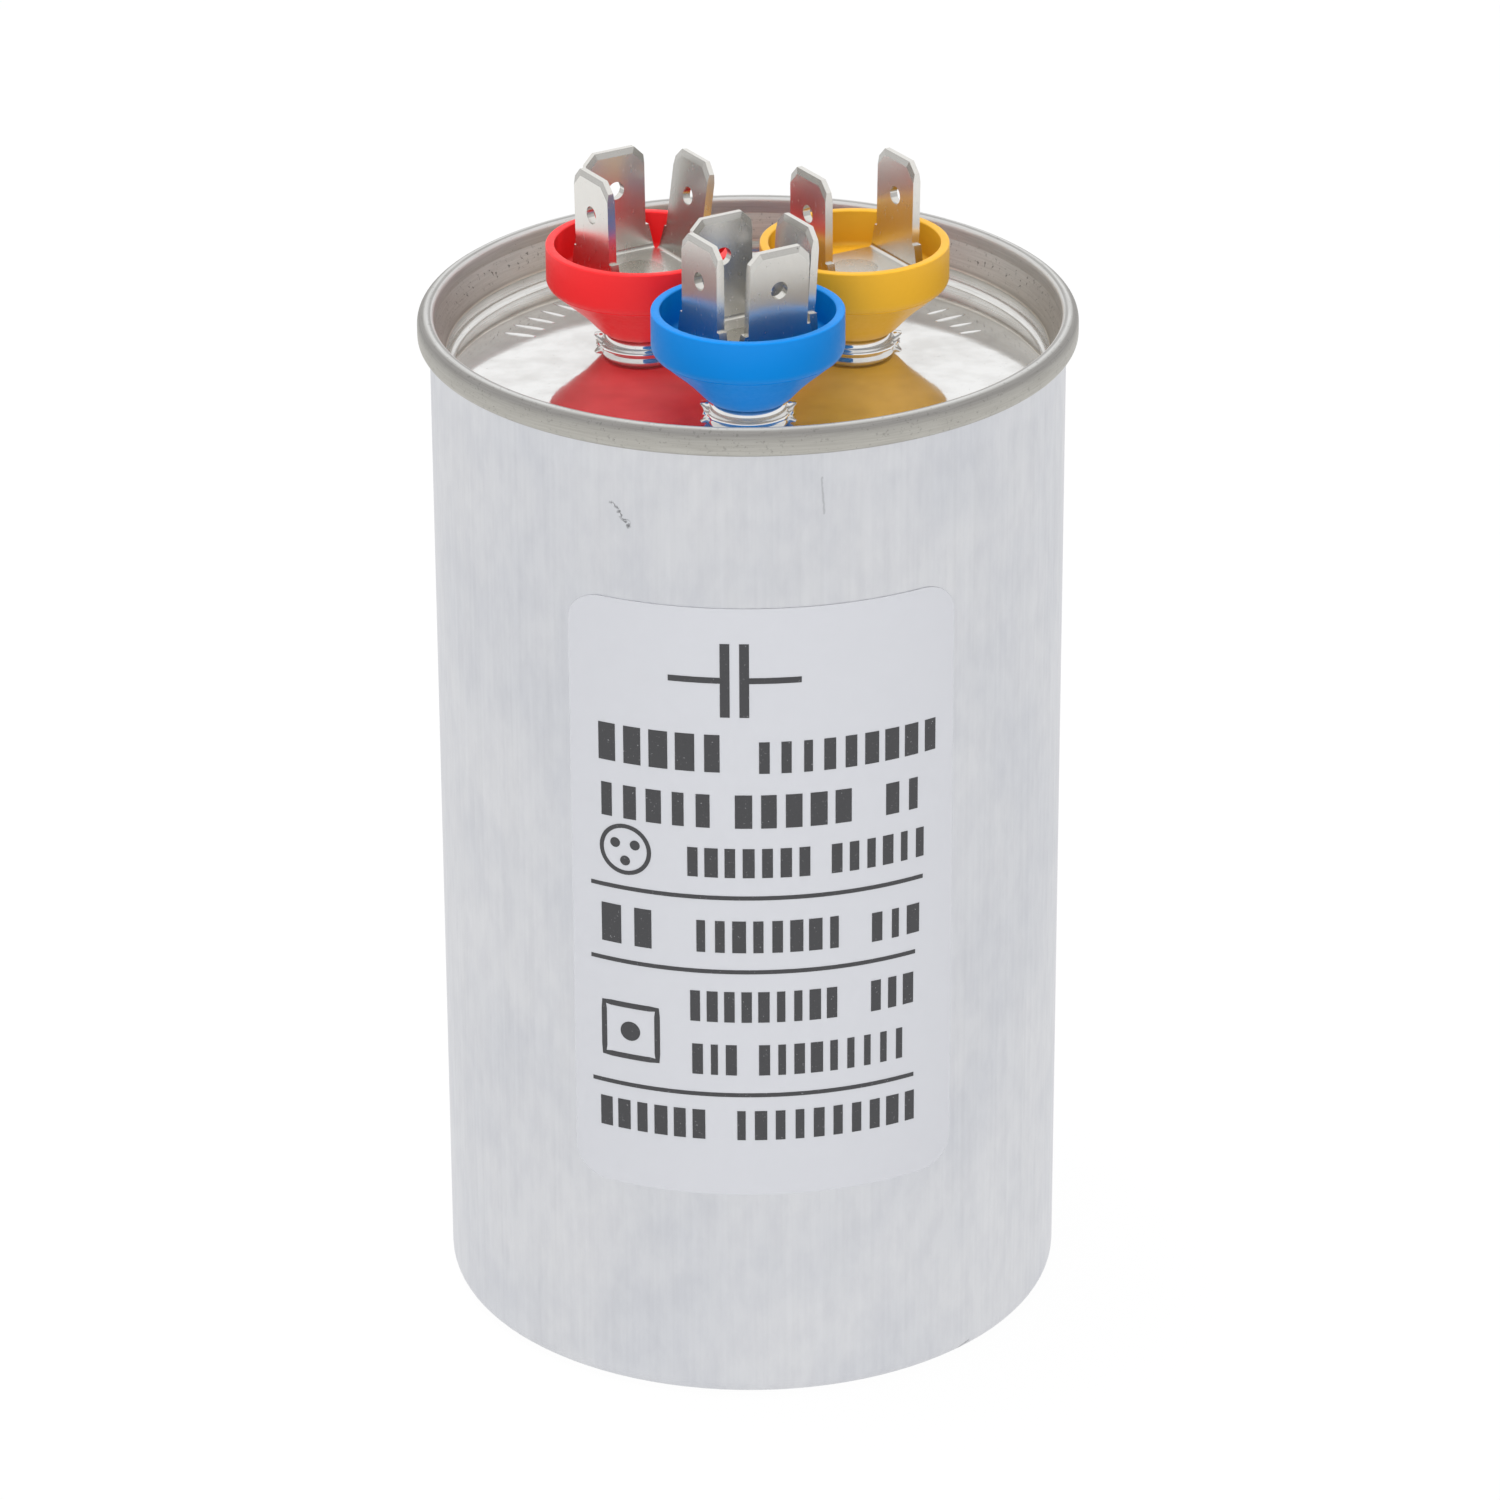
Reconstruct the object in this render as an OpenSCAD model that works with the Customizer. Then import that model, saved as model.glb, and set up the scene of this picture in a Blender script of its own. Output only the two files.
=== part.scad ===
// Dual-section motor run capacitor in a round drawn can.
// The can stands on Z = 0 with its axis on Z, and every length is in millimetres.

/* [Can] */
// Outside diameter of the drawn can
can_d = 60; // [52:0.5:66]
// Height from the foot to the top of the double seam
can_h = 100.7; // [92:0.1:140]
// Thickness of the can's sheet
can_wall = 0.4; // [0.3:0.05:0.5]
// Outside radius of the can's foot corner
foot_r = 1.7; // [1:0.1:3]
// Width of the flat ring that the can stands on
foot_ring_w = 3.6; // [2:0.2:6]
// Height of the dished middle of the can's floor
dish_h = 0.9; // [0.5:0.1:2]

/* [Double seam] */
// Height of the double seam
seam_h = 2.6; // [2.2:0.1:3.4]
// Clearance between neighbouring layers of the seam
seam_gap = 0.05; // [0.02:0.01:0.08]
// Outside radius of the seam's two top corners
seam_corner_r = 0.6; // [0.5:0.05:0.8]
// Length of the can's hook inside the seam
hook_len = 1.6; // [1.2:0.1:1.9]
// Outward flare of the can's wall inside the seam
seam_flare = 0.03; // [0.01:0.01:0.06]
// Height of the ring of sealing compound in the seam
compound_h = 0.35; // [0.2:0.05:0.4]

/* [Lid] */
// Thickness of the lid's sheet
lid_wall = 0.28; // [0.2:0.02:0.36]
// Depth of the lid's panel below the top of the seam
panel_depth = 5.7; // [5:0.1:8]
// Inward taper of the lid's chuck wall
chuck_taper = 0.8; // [0.4:0.1:1.4]
// Height of the bead at the foot of the chuck wall above the panel
bead_rise = 1.75; // [1.4:0.05:2]
// Depth of the bead at the foot of the chuck wall
bead_depth = 0.15; // [0.1:0.05:0.4]
// Fillet radius between chuck wall and panel
panel_fillet_r = 0.8; // [0.5:0.1:1]

/* [Terminal bosses] */
// Diameter of the circle that the three terminals stand on
pitch_d = 23.4; // [22.6:0.1:26]
// Height of a pressed boss above the lid's panel
boss_h = 1.4; // [1.3:0.1:2]
// Diameter of a boss at its top
boss_top_d = 8; // [7.6:0.1:9]
// Outside radius of a boss's top edge
boss_round = 0.6; // [0.4:0.05:0.7]
// Fillet radius between a boss and the panel
boss_fillet_r = 0.6; // [0.4:0.05:0.6]
// Length over the two anti-turn ears of a boss, at half their height
ear_len = 10.1; // [9.6:0.1:10.5]
// Width of an anti-turn ear
ear_w = 3; // [2:0.1:4]
// Height of an anti-turn ear above the panel
ear_h = 0.85; // [0.5:0.05:1.2]
// Outward draft of an ear's end over its height
ear_draft = 0.35; // [0.1:0.05:0.5]

/* [Insulating cups] */
// Outside diameter of a cup's rim
cup_d = 18; // [16.5:0.1:19]
// Height of a cup from its seat on the boss to its rim
cup_h = 8.8; // [8.5:0.1:11]
// Wall thickness of a cup at its rim
cup_wall = 0.85; // [0.6:0.05:1.1]
// Height of the band from a cup's rim to the crease under it
band_h = 4.1; // [3.6:0.1:4.5]
// Outside radius at the foot of the band
band_foot_r = 1; // [0.6:0.1:1.2]
// Outside radius of the edges of a cup's rim
rim_round = 0.15; // [0.1:0.01:0.25]
// Depth of the crease under the band
crease_depth = 0.12; // [0.1:0.01:0.25]
// Inward step from the rim to the top of a cup's cone
cone_step = 0.8; // [0.7:0.05:1.2]
// Drop from the crease to the top of the cone
cone_drop = 0.8; // [0.5:0.1:1]
// Inside depth of a cup
cup_depth = 3.5; // [3:0.1:4.2]
// Diameter of a cup's neck where it meets the boss
neck_d = 8.2; // [8:0.1:9]
// Width of the rounded step from the cone to the neck
neck_step = 0.45; // [0.3:0.05:0.6]
// Height of the rounded step from the cone to the neck
neck_rise = 0.25; // [0.1:0.05:0.4]
// Inside radius round a cup's floor
floor_r = 0.5; // [0.3:0.1:0.7]
// Diameter of the spigot that passes through the lid
spigot_d = 5.2; // [4.4:0.1:5.6]

/* [Blades] */
// Width of a quick-connect blade
blade_w = 6.3; // [4.8:0.1:6.6]
// Thickness of the blade stampings
blade_t = 0.8; // [0.5:0.05:0.9]
// Length of a blade from its stop shoulder to its tip
blade_len = 8; // [6.5:0.1:9]
// Height of the stop shoulder above the stamping's plate
shoulder_h = 2.4; // [2:0.1:3]
// Width of the blade just under its stop shoulder
shoulder_w = 7; // [6.8:0.1:7.2]
// Width of the blade at its fold
root_w = 7.9; // [7.6:0.1:8.1]
// Distance between opposite blades, from middle to middle
blade_spread = 9.6; // [9.2:0.1:10]
// Inside radius of the folds
fold_r = 0.4; // [0.3:0.05:0.5]
// Size of the cut corners at a blade's tip
tip_cut = 1; // [0.6:0.1:1.4]
// Length of the coined bevels round a blade's tip
bevel_len = 0.6; // [0.4:0.05:1]
// Depth of the coined bevels on each face
bevel_depth = 0.14; // [0.1:0.02:0.3]
// Diameter of the detent hole
detent_d = 1.75; // [1.4:0.05:2]
// Distance from a blade's tip to its detent hole
detent_drop = 4; // [3.5:0.1:4.5]
// Turn of the stampings about the vertical, in degrees
blade_turn = 31; // [20:1:40]
// Outward lean of the blades that sprang back a little, in degrees
slight_lean = 1; // [0:0.5:2]
// Outward lean of the blades that have been handled, in degrees
handled_lean = 4; // [0:1:5]
// Outward lean of the one blade that is bent, in degrees
bent_lean = 8; // [0:1:10]

/* [Feed-through] */
// Diameter of a rivet's shank
rivet_d = 3; // [2.4:0.1:3.4]
// Diameter of the rivet's flush head
rivet_head_d = 4.4; // [4:0.1:5]
// Depth of the rivet's flush head
rivet_head_h = 0.5; // [0.3:0.05:0.5]
// Diameter of the rivet's clinched tail
rivet_tail_d = 4.6; // [4.2:0.1:5]
// Height of the rivet's clinched tail
rivet_tail_h = 0.8; // [0.5:0.1:1.2]
// Inset of the clinched tail's lower edge
rivet_tail_inset = 0.5; // [0.2:0.1:0.6]
// Diameter of an insulating bush under the lid
bush_d = 11; // [10.6:0.1:12]
// Thickness of a bush's flange
bush_t = 1.2; // [0.8:0.1:1.6]
// Thickness of an inner lug
lug_t = 0.5; // [0.4:0.05:0.8]
// Diameter of a lug's ring
lug_d = 6; // [5.6:0.1:6.6]
// Width of a lug's tail
lug_tail_w = 3; // [2.6:0.1:3.6]
// Clearance between pieces that slip into each other
slip = 0.05; // [0.02:0.01:0.1]
// Clearance between a stamping and the floor of its cup
seat_gap = 0.02; // [0.01:0.01:0.05]
// Clearance round the rivet's flush head
head_gap = 0.01; // [0.01:0.01:0.03]

/* [Leads] */
// Diameter of a lead wire
lead_d = 1.6; // [1.2:0.1:1.8]
// Radius at which the red lead stands on the outer section
red_lead_r = 17; // [16.6:0.1:18.5]
// Bend radius of the blue lead at the foot of the core
lead_bend_r = 2; // [1.6:0.1:2.2]
// Radius at which the blue lead ends under the winding
blue_lead_r = 11; // [10:0.5:14]
// Diameter of a solder joint
solder_d = 3.2; // [3:0.1:3.4]
// Height of a solder joint
solder_h = 1.2; // [0.8:0.1:1.4]
// Width of solder round a lead at the top of its joint
solder_lip = 0.15; // [0.1:0.05:0.3]
// Thickness of solder between the blue lead and the sprayed lower end
solder_gap = 0.2; // [0.1:0.05:0.3]

/* [Winding] */
// Free space round the winding, filled with oil
oil_gap = 1.9; // [1.5:0.1:3]
// Diameter of the boundary between the two sections
section_d = 19; // [19:0.2:21]
// Thickness of the sleeve between the two sections
section_sleeve_t = 0.6; // [0.4:0.1:1]
// Outside diameter of the core tube
core_d = 11; // [10.6:0.1:11.2]
// Wall thickness of the core tube
core_wall = 1.5; // [1:0.1:2]
// Thickness of the sprayed zinc ends
spray_t = 0.6; // [0.4:0.1:1]

/* [Insulation] */
// Thickness of the liner between winding and can
liner_t = 0.5; // [0.3:0.1:0.8]
// Thickness of the tray under the winding
tray_t = 2.6; // [2.4:0.1:4]
// Height of the tray's rim round the winding
tray_rim_h = 3; // [2:0.5:5]
// Thickness of the insulator on top of the winding
top_insulator_t = 1.5; // [1:0.1:2.5]
// Height of the free space that the interrupter's skirt spans
break_space = 5; // [4:0.5:8]
// Thickness of the interrupter disc
interrupter_t = 1.4; // [1:0.1:2]
// Wall thickness of the interrupter's skirt
skirt_t = 1.2; // [0.8:0.1:1.6]
// Diameter of the circle that the interrupter's vents lie on
vent_pitch_d = 40.4; // [36:0.2:44]
// Diameter of a vent
vent_d = 4; // [2:0.5:5]
// Clearance round solder joints in the tray and the top insulator
solder_room = 0.1; // [0.05:0.05:0.2]
// Free drop between the rivet tails and the interrupter disc
tail_room = 2; // [1.5:0.1:3]

/* [Label] */
// Width of the label along the can's face
label_w = 38.2; // [25:0.1:60]
// Height of the label
label_h = 60.8; // [30:0.1:66]
// Height of the label's lower edge above the foot
label_z = 22.2; // [5:0.1:25]
// Thickness of the label's film
label_t = 0.08; // [0.05:0.01:0.15]
// Radius of the label's corners
label_r = 3; // [1:0.5:6]
// Turn of the label's middle away from the front, in degrees
label_turn = 2.6; // [-10:0.1:10]

/* [Hidden] */
$fn = 96;

// Bearings of the three terminals about the can's axis
red_at = 150;
blue_at = 270;
yellow_at = 30;
// Blades of each stamping, as [bearing from the stamping's own X, outward lean]
red_blades = [[180, slight_lean], [90, slight_lean], [0, bent_lean]];
blue_blades = [[180, 0], [90, 0], [0, handled_lean], [270, handled_lean]];
yellow_blades = [[180, 0], [0, slight_lean]];

// Radii of the seam's layers, from the chuck wall outwards
can_r = can_d / 2;
can_in_r = can_r - can_wall;
chuck_out_r = can_in_r - seam_gap;
chuck_in_r = chuck_out_r - lid_wall;
flare_r = can_r + seam_flare;
cover_hook_r = flare_r + seam_gap;
body_hook_r = cover_hook_r + lid_wall + seam_gap;
seam_in_r = body_hook_r + can_wall + seam_gap;
seam_r = seam_in_r + lid_wall;
// Heights of the seam's layers
seam_z = can_h - seam_h;
flange_z = can_h - lid_wall - seam_gap - can_wall;
hook_r = 0.1;
turn_r = (seam_r - cover_hook_r) / 2;
cover_hook_z = flange_z - hook_r - compound_h;
// Heights of the lid
panel_z = can_h - panel_depth;
bead_z = panel_z + bead_rise;
chuck_foot_r = chuck_in_r - chuck_taper;
wall_foot_r = chuck_foot_r + bead_depth;
taper_z = seam_z + seam_h / 3;
panel_under_z = panel_z - lid_wall;
boss_z = panel_z + boss_h;
boss_under_z = boss_z - lid_wall;
// Heights of a cup
cup_rim_z = boss_z + cup_h;
cup_floor_z = cup_rim_z - cup_depth;
cup_in_r = cup_d / 2 - cup_wall;
plate_under_z = cup_floor_z + seat_gap;
plate_z = plate_under_z + blade_t;
shank_bore_d = rivet_d + 2 * slip;
// Stack under the lid, from the bush down to the interrupter disc
bush_z = panel_under_z - bush_t;
lug_z = bush_z - lug_t;
tail_z = lug_z - rivet_tail_h;
interrupter_z = tail_z - tail_room - interrupter_t;
top_insulator_z = interrupter_z - break_space - top_insulator_t;
// Stack from the floor up to the winding's top end
tray_z = dish_h + can_wall;
common_spray_z = tray_z + tray_t;
winding_z = common_spray_z + spray_t;
top_spray_z = top_insulator_z - spray_t;
winding_h = top_spray_z - winding_z;
// Radii inside the can
liner_r = can_in_r - 2 * slip;
liner_in_r = liner_r - liner_t;
tray_r = liner_in_r - 2 * slip;
winding_r = liner_in_r - oil_gap;
spray_margin = 0.5;
vent_count = 8;
wire_hole_d = lead_d + 2 * slip;
yellow_lead_r = (core_d + section_d) / 4;
pitch_r = pitch_d / 2;
blade_pitch = blade_spread / 2;
// Overshoot of a cutting tool beyond the faces that it goes through
over = 1;

// Points of an arc about c, from angle a0 to angle a1
function arc(c, r, a0, a1, n = 8) =
    [for (i = [0:n]) c + r * [cos(a0 + (a1 - a0) * i / n), sin(a0 + (a1 - a0) * i / n)]];
function unit(v) = v / norm(v);
function left_of(v) = [-v[1], v[0]];
// Offset of point i of an open path, by t to its left, with mitred corners
function offset_point(p, i, t) =
    let (
        before = i == 0 ? unit(p[1] - p[0]) : unit(p[i] - p[i - 1]),
        after = i == len(p) - 1 ? before : unit(p[i + 1] - p[i]),
        mid = unit(left_of(before) + left_of(after)))
    p[i] + mid * t / (mid * left_of(before));

// Closed strip between an open path and its offset by t to the left
module sheet_section(path, t) {
    polygon(concat(path, [for (i = [len(path) - 1:-1:0]) offset_point(path, i, t)]));
}

module ring(r_out, r_in, h) {
    difference() {
        cylinder(h = h, r = r_out);
        translate([0, 0, -over]) cylinder(h = h + 2 * over, r = r_in);
    }
}

module at_terminal(bearing) {
    rotate([0, 0, bearing]) translate([pitch_r, 0, 0]) rotate([0, 0, -bearing]) children();
}

// ---- Can and lid ----

module can() {
    dish_in_r = can_r - foot_r - foot_ring_w - dish_h;
    ring_in_r = can_r - foot_r - foot_ring_w;
    path = concat(
        [[0, dish_h], [dish_in_r, dish_h], [ring_in_r, 0]],
        arc([can_r - foot_r, foot_r], foot_r, -90, 0),
        [[can_r, seam_z]],
        arc([flare_r + hook_r, flange_z - hook_r], hook_r, 180, 90, 3),
        arc([body_hook_r - hook_r, flange_z - hook_r], hook_r, 90, 0, 3),
        [[body_hook_r, flange_z + can_wall - hook_len]]);
    color("gainsboro") rotate_extrude() sheet_section(path, can_wall);
}

// One continuous sheet: panel, fillet, bead, chuck wall, seam top, seam wall, turn and hook
module lid_sheet() {
    panel_r = wall_foot_r - panel_fillet_r;
    path = concat(
        [[0, panel_z]],
        arc([panel_r, panel_z + panel_fillet_r], panel_fillet_r, -90, 0, 6),
        [
            [wall_foot_r, bead_z - 1.5 * bead_depth],
            [chuck_foot_r, bead_z],
            [chuck_in_r, taper_z]],
        arc([chuck_in_r + seam_corner_r, can_h - seam_corner_r], seam_corner_r, 180, 90, 5),
        arc([seam_r - seam_corner_r, can_h - seam_corner_r], seam_corner_r, 90, 0, 5),
        arc([seam_r - turn_r, seam_z + turn_r], turn_r, 0, -180, 10),
        [[cover_hook_r, cover_hook_z]]);
    rotate_extrude() sheet_section(path, -lid_wall);
}

// Raised form of one boss with its two ears, from base_z up, shrunk all round by inset
module boss_form(inset, base_z) {
    toe_r = boss_top_d / 2 + boss_fillet_r;
    rotate_extrude() polygon(concat(
        [[0, base_z], [toe_r, base_z]],
        arc([toe_r, panel_z + boss_fillet_r], boss_fillet_r + inset, 270, 180, 5),
        arc([boss_top_d / 2 - boss_round, boss_z - boss_round], boss_round - inset, 0, 90, 5),
        [[0, boss_z - inset]]));
    translate([0, 0, base_z]) intersection() {
        h = panel_z + ear_h - inset - base_z;
        translate([inset - ear_len / 2 - ear_draft, inset - ear_w / 2, 0])
            cube([ear_len + 2 * ear_draft - 2 * inset, ear_w - 2 * inset, h]);
        cylinder(h = h, r1 = ear_len / 2 + ear_draft - inset, r2 = ear_len / 2 - ear_draft - inset);
    }
}

module lid() {
    color("silver") difference() {
        union() {
            lid_sheet();
            for (bearing = [red_at, blue_at, yellow_at]) at_terminal(bearing)
                boss_form(0, panel_under_z);
        }
        for (bearing = [red_at, blue_at, yellow_at]) at_terminal(bearing) {
            boss_form(lid_wall, panel_under_z - over);
            translate([0, 0, panel_z]) cylinder(h = 2 * boss_h, d = spigot_d + 2 * slip);
        }
    }
}

module seam_compound() {
    color("darkgreen") translate([0, 0, cover_hook_z])
        ring(cover_hook_r + lid_wall, cover_hook_r, compound_h);
}

// Wrap label: a thin shell cut to a rectangle with round corners
module label() {
    half_angle = label_w / can_r * 90 / PI;
    half_w = can_r * sin(half_angle);
    color("whitesmoke") rotate([0, 0, label_turn]) translate([0, 0, label_z]) intersection() {
        ring(can_r + label_t, can_r, label_h);
        rotate([90, 0, 0]) linear_extrude(height = can_d) union() {
            translate([-half_w, label_r]) square([2 * half_w, label_h - 2 * label_r]);
            translate([-half_w + label_r, 0]) square([2 * (half_w - label_r), label_h]);
            for (x = [-1, 1], y = [label_r, label_h - label_r])
                translate([x * (half_w - label_r), y]) circle(r = label_r, $fn = 48);
        }
    }
}

// ---- Cups ----

// Half section: floor, wall, rim, band, crease, cone, neck and spigot
module cup_section() {
    rim_r = cup_d / 2;
    band_z = cup_rim_z - band_h;
    crease_r = rim_r - band_foot_r * (1 - cos(45)) - crease_depth;
    polygon(concat(
        [[shank_bore_d / 2, cup_floor_z]],
        arc([cup_in_r - floor_r, cup_floor_z + floor_r], floor_r, -90, 0, 4),
        arc([cup_in_r + rim_round, cup_rim_z - rim_round], rim_round, 180, 90, 4),
        arc([rim_r - rim_round, cup_rim_z - rim_round], rim_round, 90, 0, 4),
        arc([rim_r - band_foot_r, band_z + band_foot_r * sin(45)], band_foot_r, 0, -45, 4),
        [
            [crease_r, band_z],
            [rim_r - cone_step, band_z - cone_drop],
            [neck_d / 2 + neck_step, boss_z + neck_rise],
            [neck_d / 2, boss_z],
            [spigot_d / 2, boss_z],
            [spigot_d / 2, bush_z],
            [shank_bore_d / 2, bush_z]]));
}

module cup(bearing) {
    at_terminal(bearing) rotate_extrude() cup_section();
}

module red_cup() { color("crimson") cup(red_at); }
module blue_cup() { color("dodgerblue") cup(blue_at); }
module yellow_cup() { color("goldenrod") cup(yellow_at); }

// ---- Stamped terminals ----

// Outline of a blade above its fold: root, stop shoulder, tab and cut corners
module blade_outline(h) {
    tip = h;
    shoulder = h - blade_len;
    polygon([
        [-root_w / 2, 0], [root_w / 2, 0],
        [shoulder_w / 2, shoulder], [blade_w / 2, shoulder],
        [blade_w / 2, tip - tip_cut], [blade_w / 2 - tip_cut, tip],
        [-blade_w / 2 + tip_cut, tip], [-blade_w / 2, tip - tip_cut],
        [-blade_w / 2, shoulder], [-shoulder_w / 2, shoulder]]);
}

// Wedge that coins one edge of the tip, lying along Y with its edge at Z = 0
module bevel_wedge() {
    rotate([90, 0, 0]) translate([0, 0, -blade_w]) linear_extrude(height = 2 * blade_w)
        polygon([
            [-over, over], [bevel_depth, over], [bevel_depth, 0],
            [0, -bevel_len], [-over, -bevel_len]]);
}

module blade(h) {
    half_cut = (blade_w - tip_cut) / sqrt(2);
    difference() {
        rotate([90, 0, 90]) linear_extrude(height = blade_t) blade_outline(h);
        translate([-over, 0, h - detent_drop]) rotate([0, 90, 0])
            cylinder(h = blade_t + 2 * over, d = detent_d);
        for (face = [0, 1]) translate([blade_t / 2, 0, h - blade_w / 2]) mirror([face, 0, 0])
            for (edge = [[0, blade_w / 2], [45, half_cut], [-45, half_cut]])
                rotate([edge[0], 0, 0]) translate([-blade_t / 2, 0, edge[1]]) bevel_wedge();
    }
}

// One folded blade that stands out along X, leaning outwards by lean degrees
module folded_blade(lean) {
    fold_x = blade_pitch - blade_t / 2 - fold_r;
    h = shoulder_h + blade_len - fold_r;
    translate([fold_x, 0, plate_z + fold_r]) {
        rotate([90, 0, 0]) rotate([0, 0, -90]) rotate_extrude(angle = 90 - lean)
            translate([fold_r, -root_w / 2]) square([blade_t, root_w]);
        rotate([0, lean, 0]) translate([fold_r, 0, 0]) blade(h);
    }
    translate([0, -root_w / 2, plate_under_z]) cube([fold_x, root_w, blade_t]);
}

module terminal(bearing, blades) {
    plate_w = blade_spread - blade_t - 2 * fold_r;
    at_terminal(bearing) rotate([0, 0, blade_turn]) difference() {
        union() {
            translate([-plate_w / 2, -plate_w / 2, plate_under_z]) cube([plate_w, plate_w, blade_t]);
            for (b = blades) rotate([0, 0, b[0]]) folded_blade(b[1]);
        }
        translate([0, 0, plate_under_z - over]) cylinder(h = blade_t + 2 * over, d = shank_bore_d);
        translate([0, 0, plate_z - rivet_head_h])
            cylinder(h = 2 * rivet_head_h, d = rivet_head_d + 2 * head_gap);
    }
}

module red_terminal() { color("darkgray") terminal(red_at, red_blades); }
module blue_terminal() { color("darkgray") terminal(blue_at, blue_blades); }
module yellow_terminal() { color("darkgray") terminal(yellow_at, yellow_blades); }

// ---- Feed-through under each cup ----

module rivet(bearing) {
    at_terminal(bearing) {
        translate([0, 0, plate_z - rivet_head_h]) cylinder(h = rivet_head_h, d = rivet_head_d);
        translate([0, 0, tail_z]) cylinder(h = plate_z - tail_z - rivet_head_h / 2, d = rivet_d);
        translate([0, 0, tail_z])
            cylinder(h = rivet_tail_h, d1 = rivet_tail_d - 2 * rivet_tail_inset, d2 = rivet_tail_d);
    }
}

module red_rivet() { color("gold") rivet(red_at); }
module blue_rivet() { color("gold") rivet(blue_at); }
module yellow_rivet() { color("gold") rivet(yellow_at); }

// Flanged bush whose hub fills the hollow of the boss round the cup's spigot
module bush(bearing) {
    hub_d = boss_top_d - 2 * boss_round;
    at_terminal(bearing) difference() {
        union() {
            translate([0, 0, bush_z]) cylinder(h = bush_t, d = bush_d);
            translate([0, 0, bush_z]) cylinder(h = boss_under_z - bush_z - slip, d = hub_d);
        }
        translate([0, 0, bush_z - over])
            cylinder(h = boss_under_z - bush_z + 2 * over, d = spigot_d + 2 * slip);
    }
}

module red_bush() { color("ivory") bush(red_at); }
module blue_bush() { color("ivory") bush(blue_at); }
module yellow_bush() { color("ivory") bush(yellow_at); }

// Ring under the bush with a tail that reaches from the rivet to its lead at radius lead_r
module lug(bearing, lead_r) {
    color("khaki") translate([0, 0, lug_z]) difference() {
        union() {
            at_terminal(bearing) cylinder(h = lug_t, d = lug_d);
            rotate([0, 0, bearing]) translate([min(lead_r, pitch_r), -lug_tail_w / 2, 0])
                cube([abs(pitch_r - lead_r), lug_tail_w, lug_t]);
            rotate([0, 0, bearing]) translate([lead_r, 0, 0]) cylinder(h = lug_t, d = lug_tail_w);
        }
        at_terminal(bearing) translate([0, 0, -over]) cylinder(h = lug_t + 2 * over, d = shank_bore_d);
        rotate([0, 0, bearing]) translate([lead_r, 0, -over])
            cylinder(h = lug_t + 2 * over, d = wire_hole_d);
    }
}

module red_lug() { lug(red_at, red_lead_r); }
module blue_lug() { lug(blue_at, 0); }
module yellow_lug() { lug(yellow_at, yellow_lead_r); }

// ---- Insulation ----

// Holes for the three leads through a level insulator
module lead_holes(z, h, d) {
    for (lead = [[red_at, red_lead_r], [blue_at, 0], [yellow_at, yellow_lead_r]])
        rotate([0, 0, lead[0]]) translate([lead[1], 0, z - over]) cylinder(h = h + 2 * over, d = d);
}

// Disc on a skirt that stands on the top insulator, with vents between the lead holes
module interrupter_disc() {
    color("wheat") difference() {
        translate([0, 0, interrupter_z - break_space])
            cylinder(h = break_space + interrupter_t, r = tray_r);
        translate([0, 0, interrupter_z - break_space - over])
            cylinder(h = break_space + over, r = tray_r - skirt_t);
        lead_holes(interrupter_z, interrupter_t, wire_hole_d);
        for (i = [1:vent_count]) rotate([0, 0, i * 360 / vent_count])
            translate([vent_pitch_d / 2, 0, interrupter_z - over])
                cylinder(h = interrupter_t + 2 * over, d = vent_d, $fn = 32);
    }
}

module top_insulator() {
    color("peru") difference() {
        translate([0, 0, top_insulator_z]) cylinder(h = top_insulator_t, r = tray_r);
        lead_holes(top_insulator_z, top_insulator_t, solder_d + 2 * solder_room);
    }
}

module liner() {
    color("tan") translate([0, 0, foot_r]) ring(liner_r, liner_in_r, interrupter_z - foot_r);
}

// Tray with a rim round the winding and a groove for the blue lead
module bottom_tray() {
    groove_w = solder_d + 2 * solder_room;
    groove_h = solder_gap + lead_d + solder_room;
    color("peru") difference() {
        translate([0, 0, tray_z]) cylinder(h = tray_t + tray_rim_h, r = tray_r);
        translate([0, 0, common_spray_z]) cylinder(h = tray_rim_h + over, r = winding_r + 2 * slip);
        rotate([0, 0, blue_at]) translate([-groove_w / 2, -groove_w / 2, common_spray_z - groove_h])
            cube([blue_lead_r + groove_w, groove_w, groove_h + over]);
    }
}

// ---- Winding ----

module core_tube() {
    color("linen") translate([0, 0, common_spray_z])
        ring(core_d / 2, core_d / 2 - core_wall, top_insulator_z - common_spray_z);
}

module inner_winding() {
    color("lightgray") translate([0, 0, winding_z])
        ring(section_d / 2 - slip, core_d / 2 + slip, winding_h);
}

module section_sleeve() {
    color("khaki") translate([0, 0, winding_z])
        ring(section_d / 2 + section_sleeve_t, section_d / 2, winding_h + spray_t);
}

module outer_winding() {
    color("lightgray") translate([0, 0, winding_z])
        ring(winding_r, section_d / 2 + section_sleeve_t + slip, winding_h);
}

module inner_end_spray() {
    color("dimgray") translate([0, 0, top_spray_z])
        ring(section_d / 2 - slip, core_d / 2 + slip, spray_t);
}

module outer_end_spray() {
    color("dimgray") translate([0, 0, top_spray_z])
        ring(winding_r - spray_margin, section_d / 2 + section_sleeve_t + slip, spray_t);
}

module common_end_spray() {
    color("dimgray") translate([0, 0, common_spray_z])
        ring(winding_r - spray_margin, core_d / 2 + slip, spray_t);
}

// ---- Leads ----

// Straight lead from a section's sprayed end up through its lug
module straight_lead(bearing, lead_r) {
    color("orangered") rotate([0, 0, bearing]) translate([lead_r, 0, top_insulator_z])
        cylinder(h = lug_z + lug_t - top_insulator_z, d = lead_d, $fn = 32);
}

module red_lead() { straight_lead(red_at, red_lead_r); }
module yellow_lead() { straight_lead(yellow_at, yellow_lead_r); }

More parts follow.
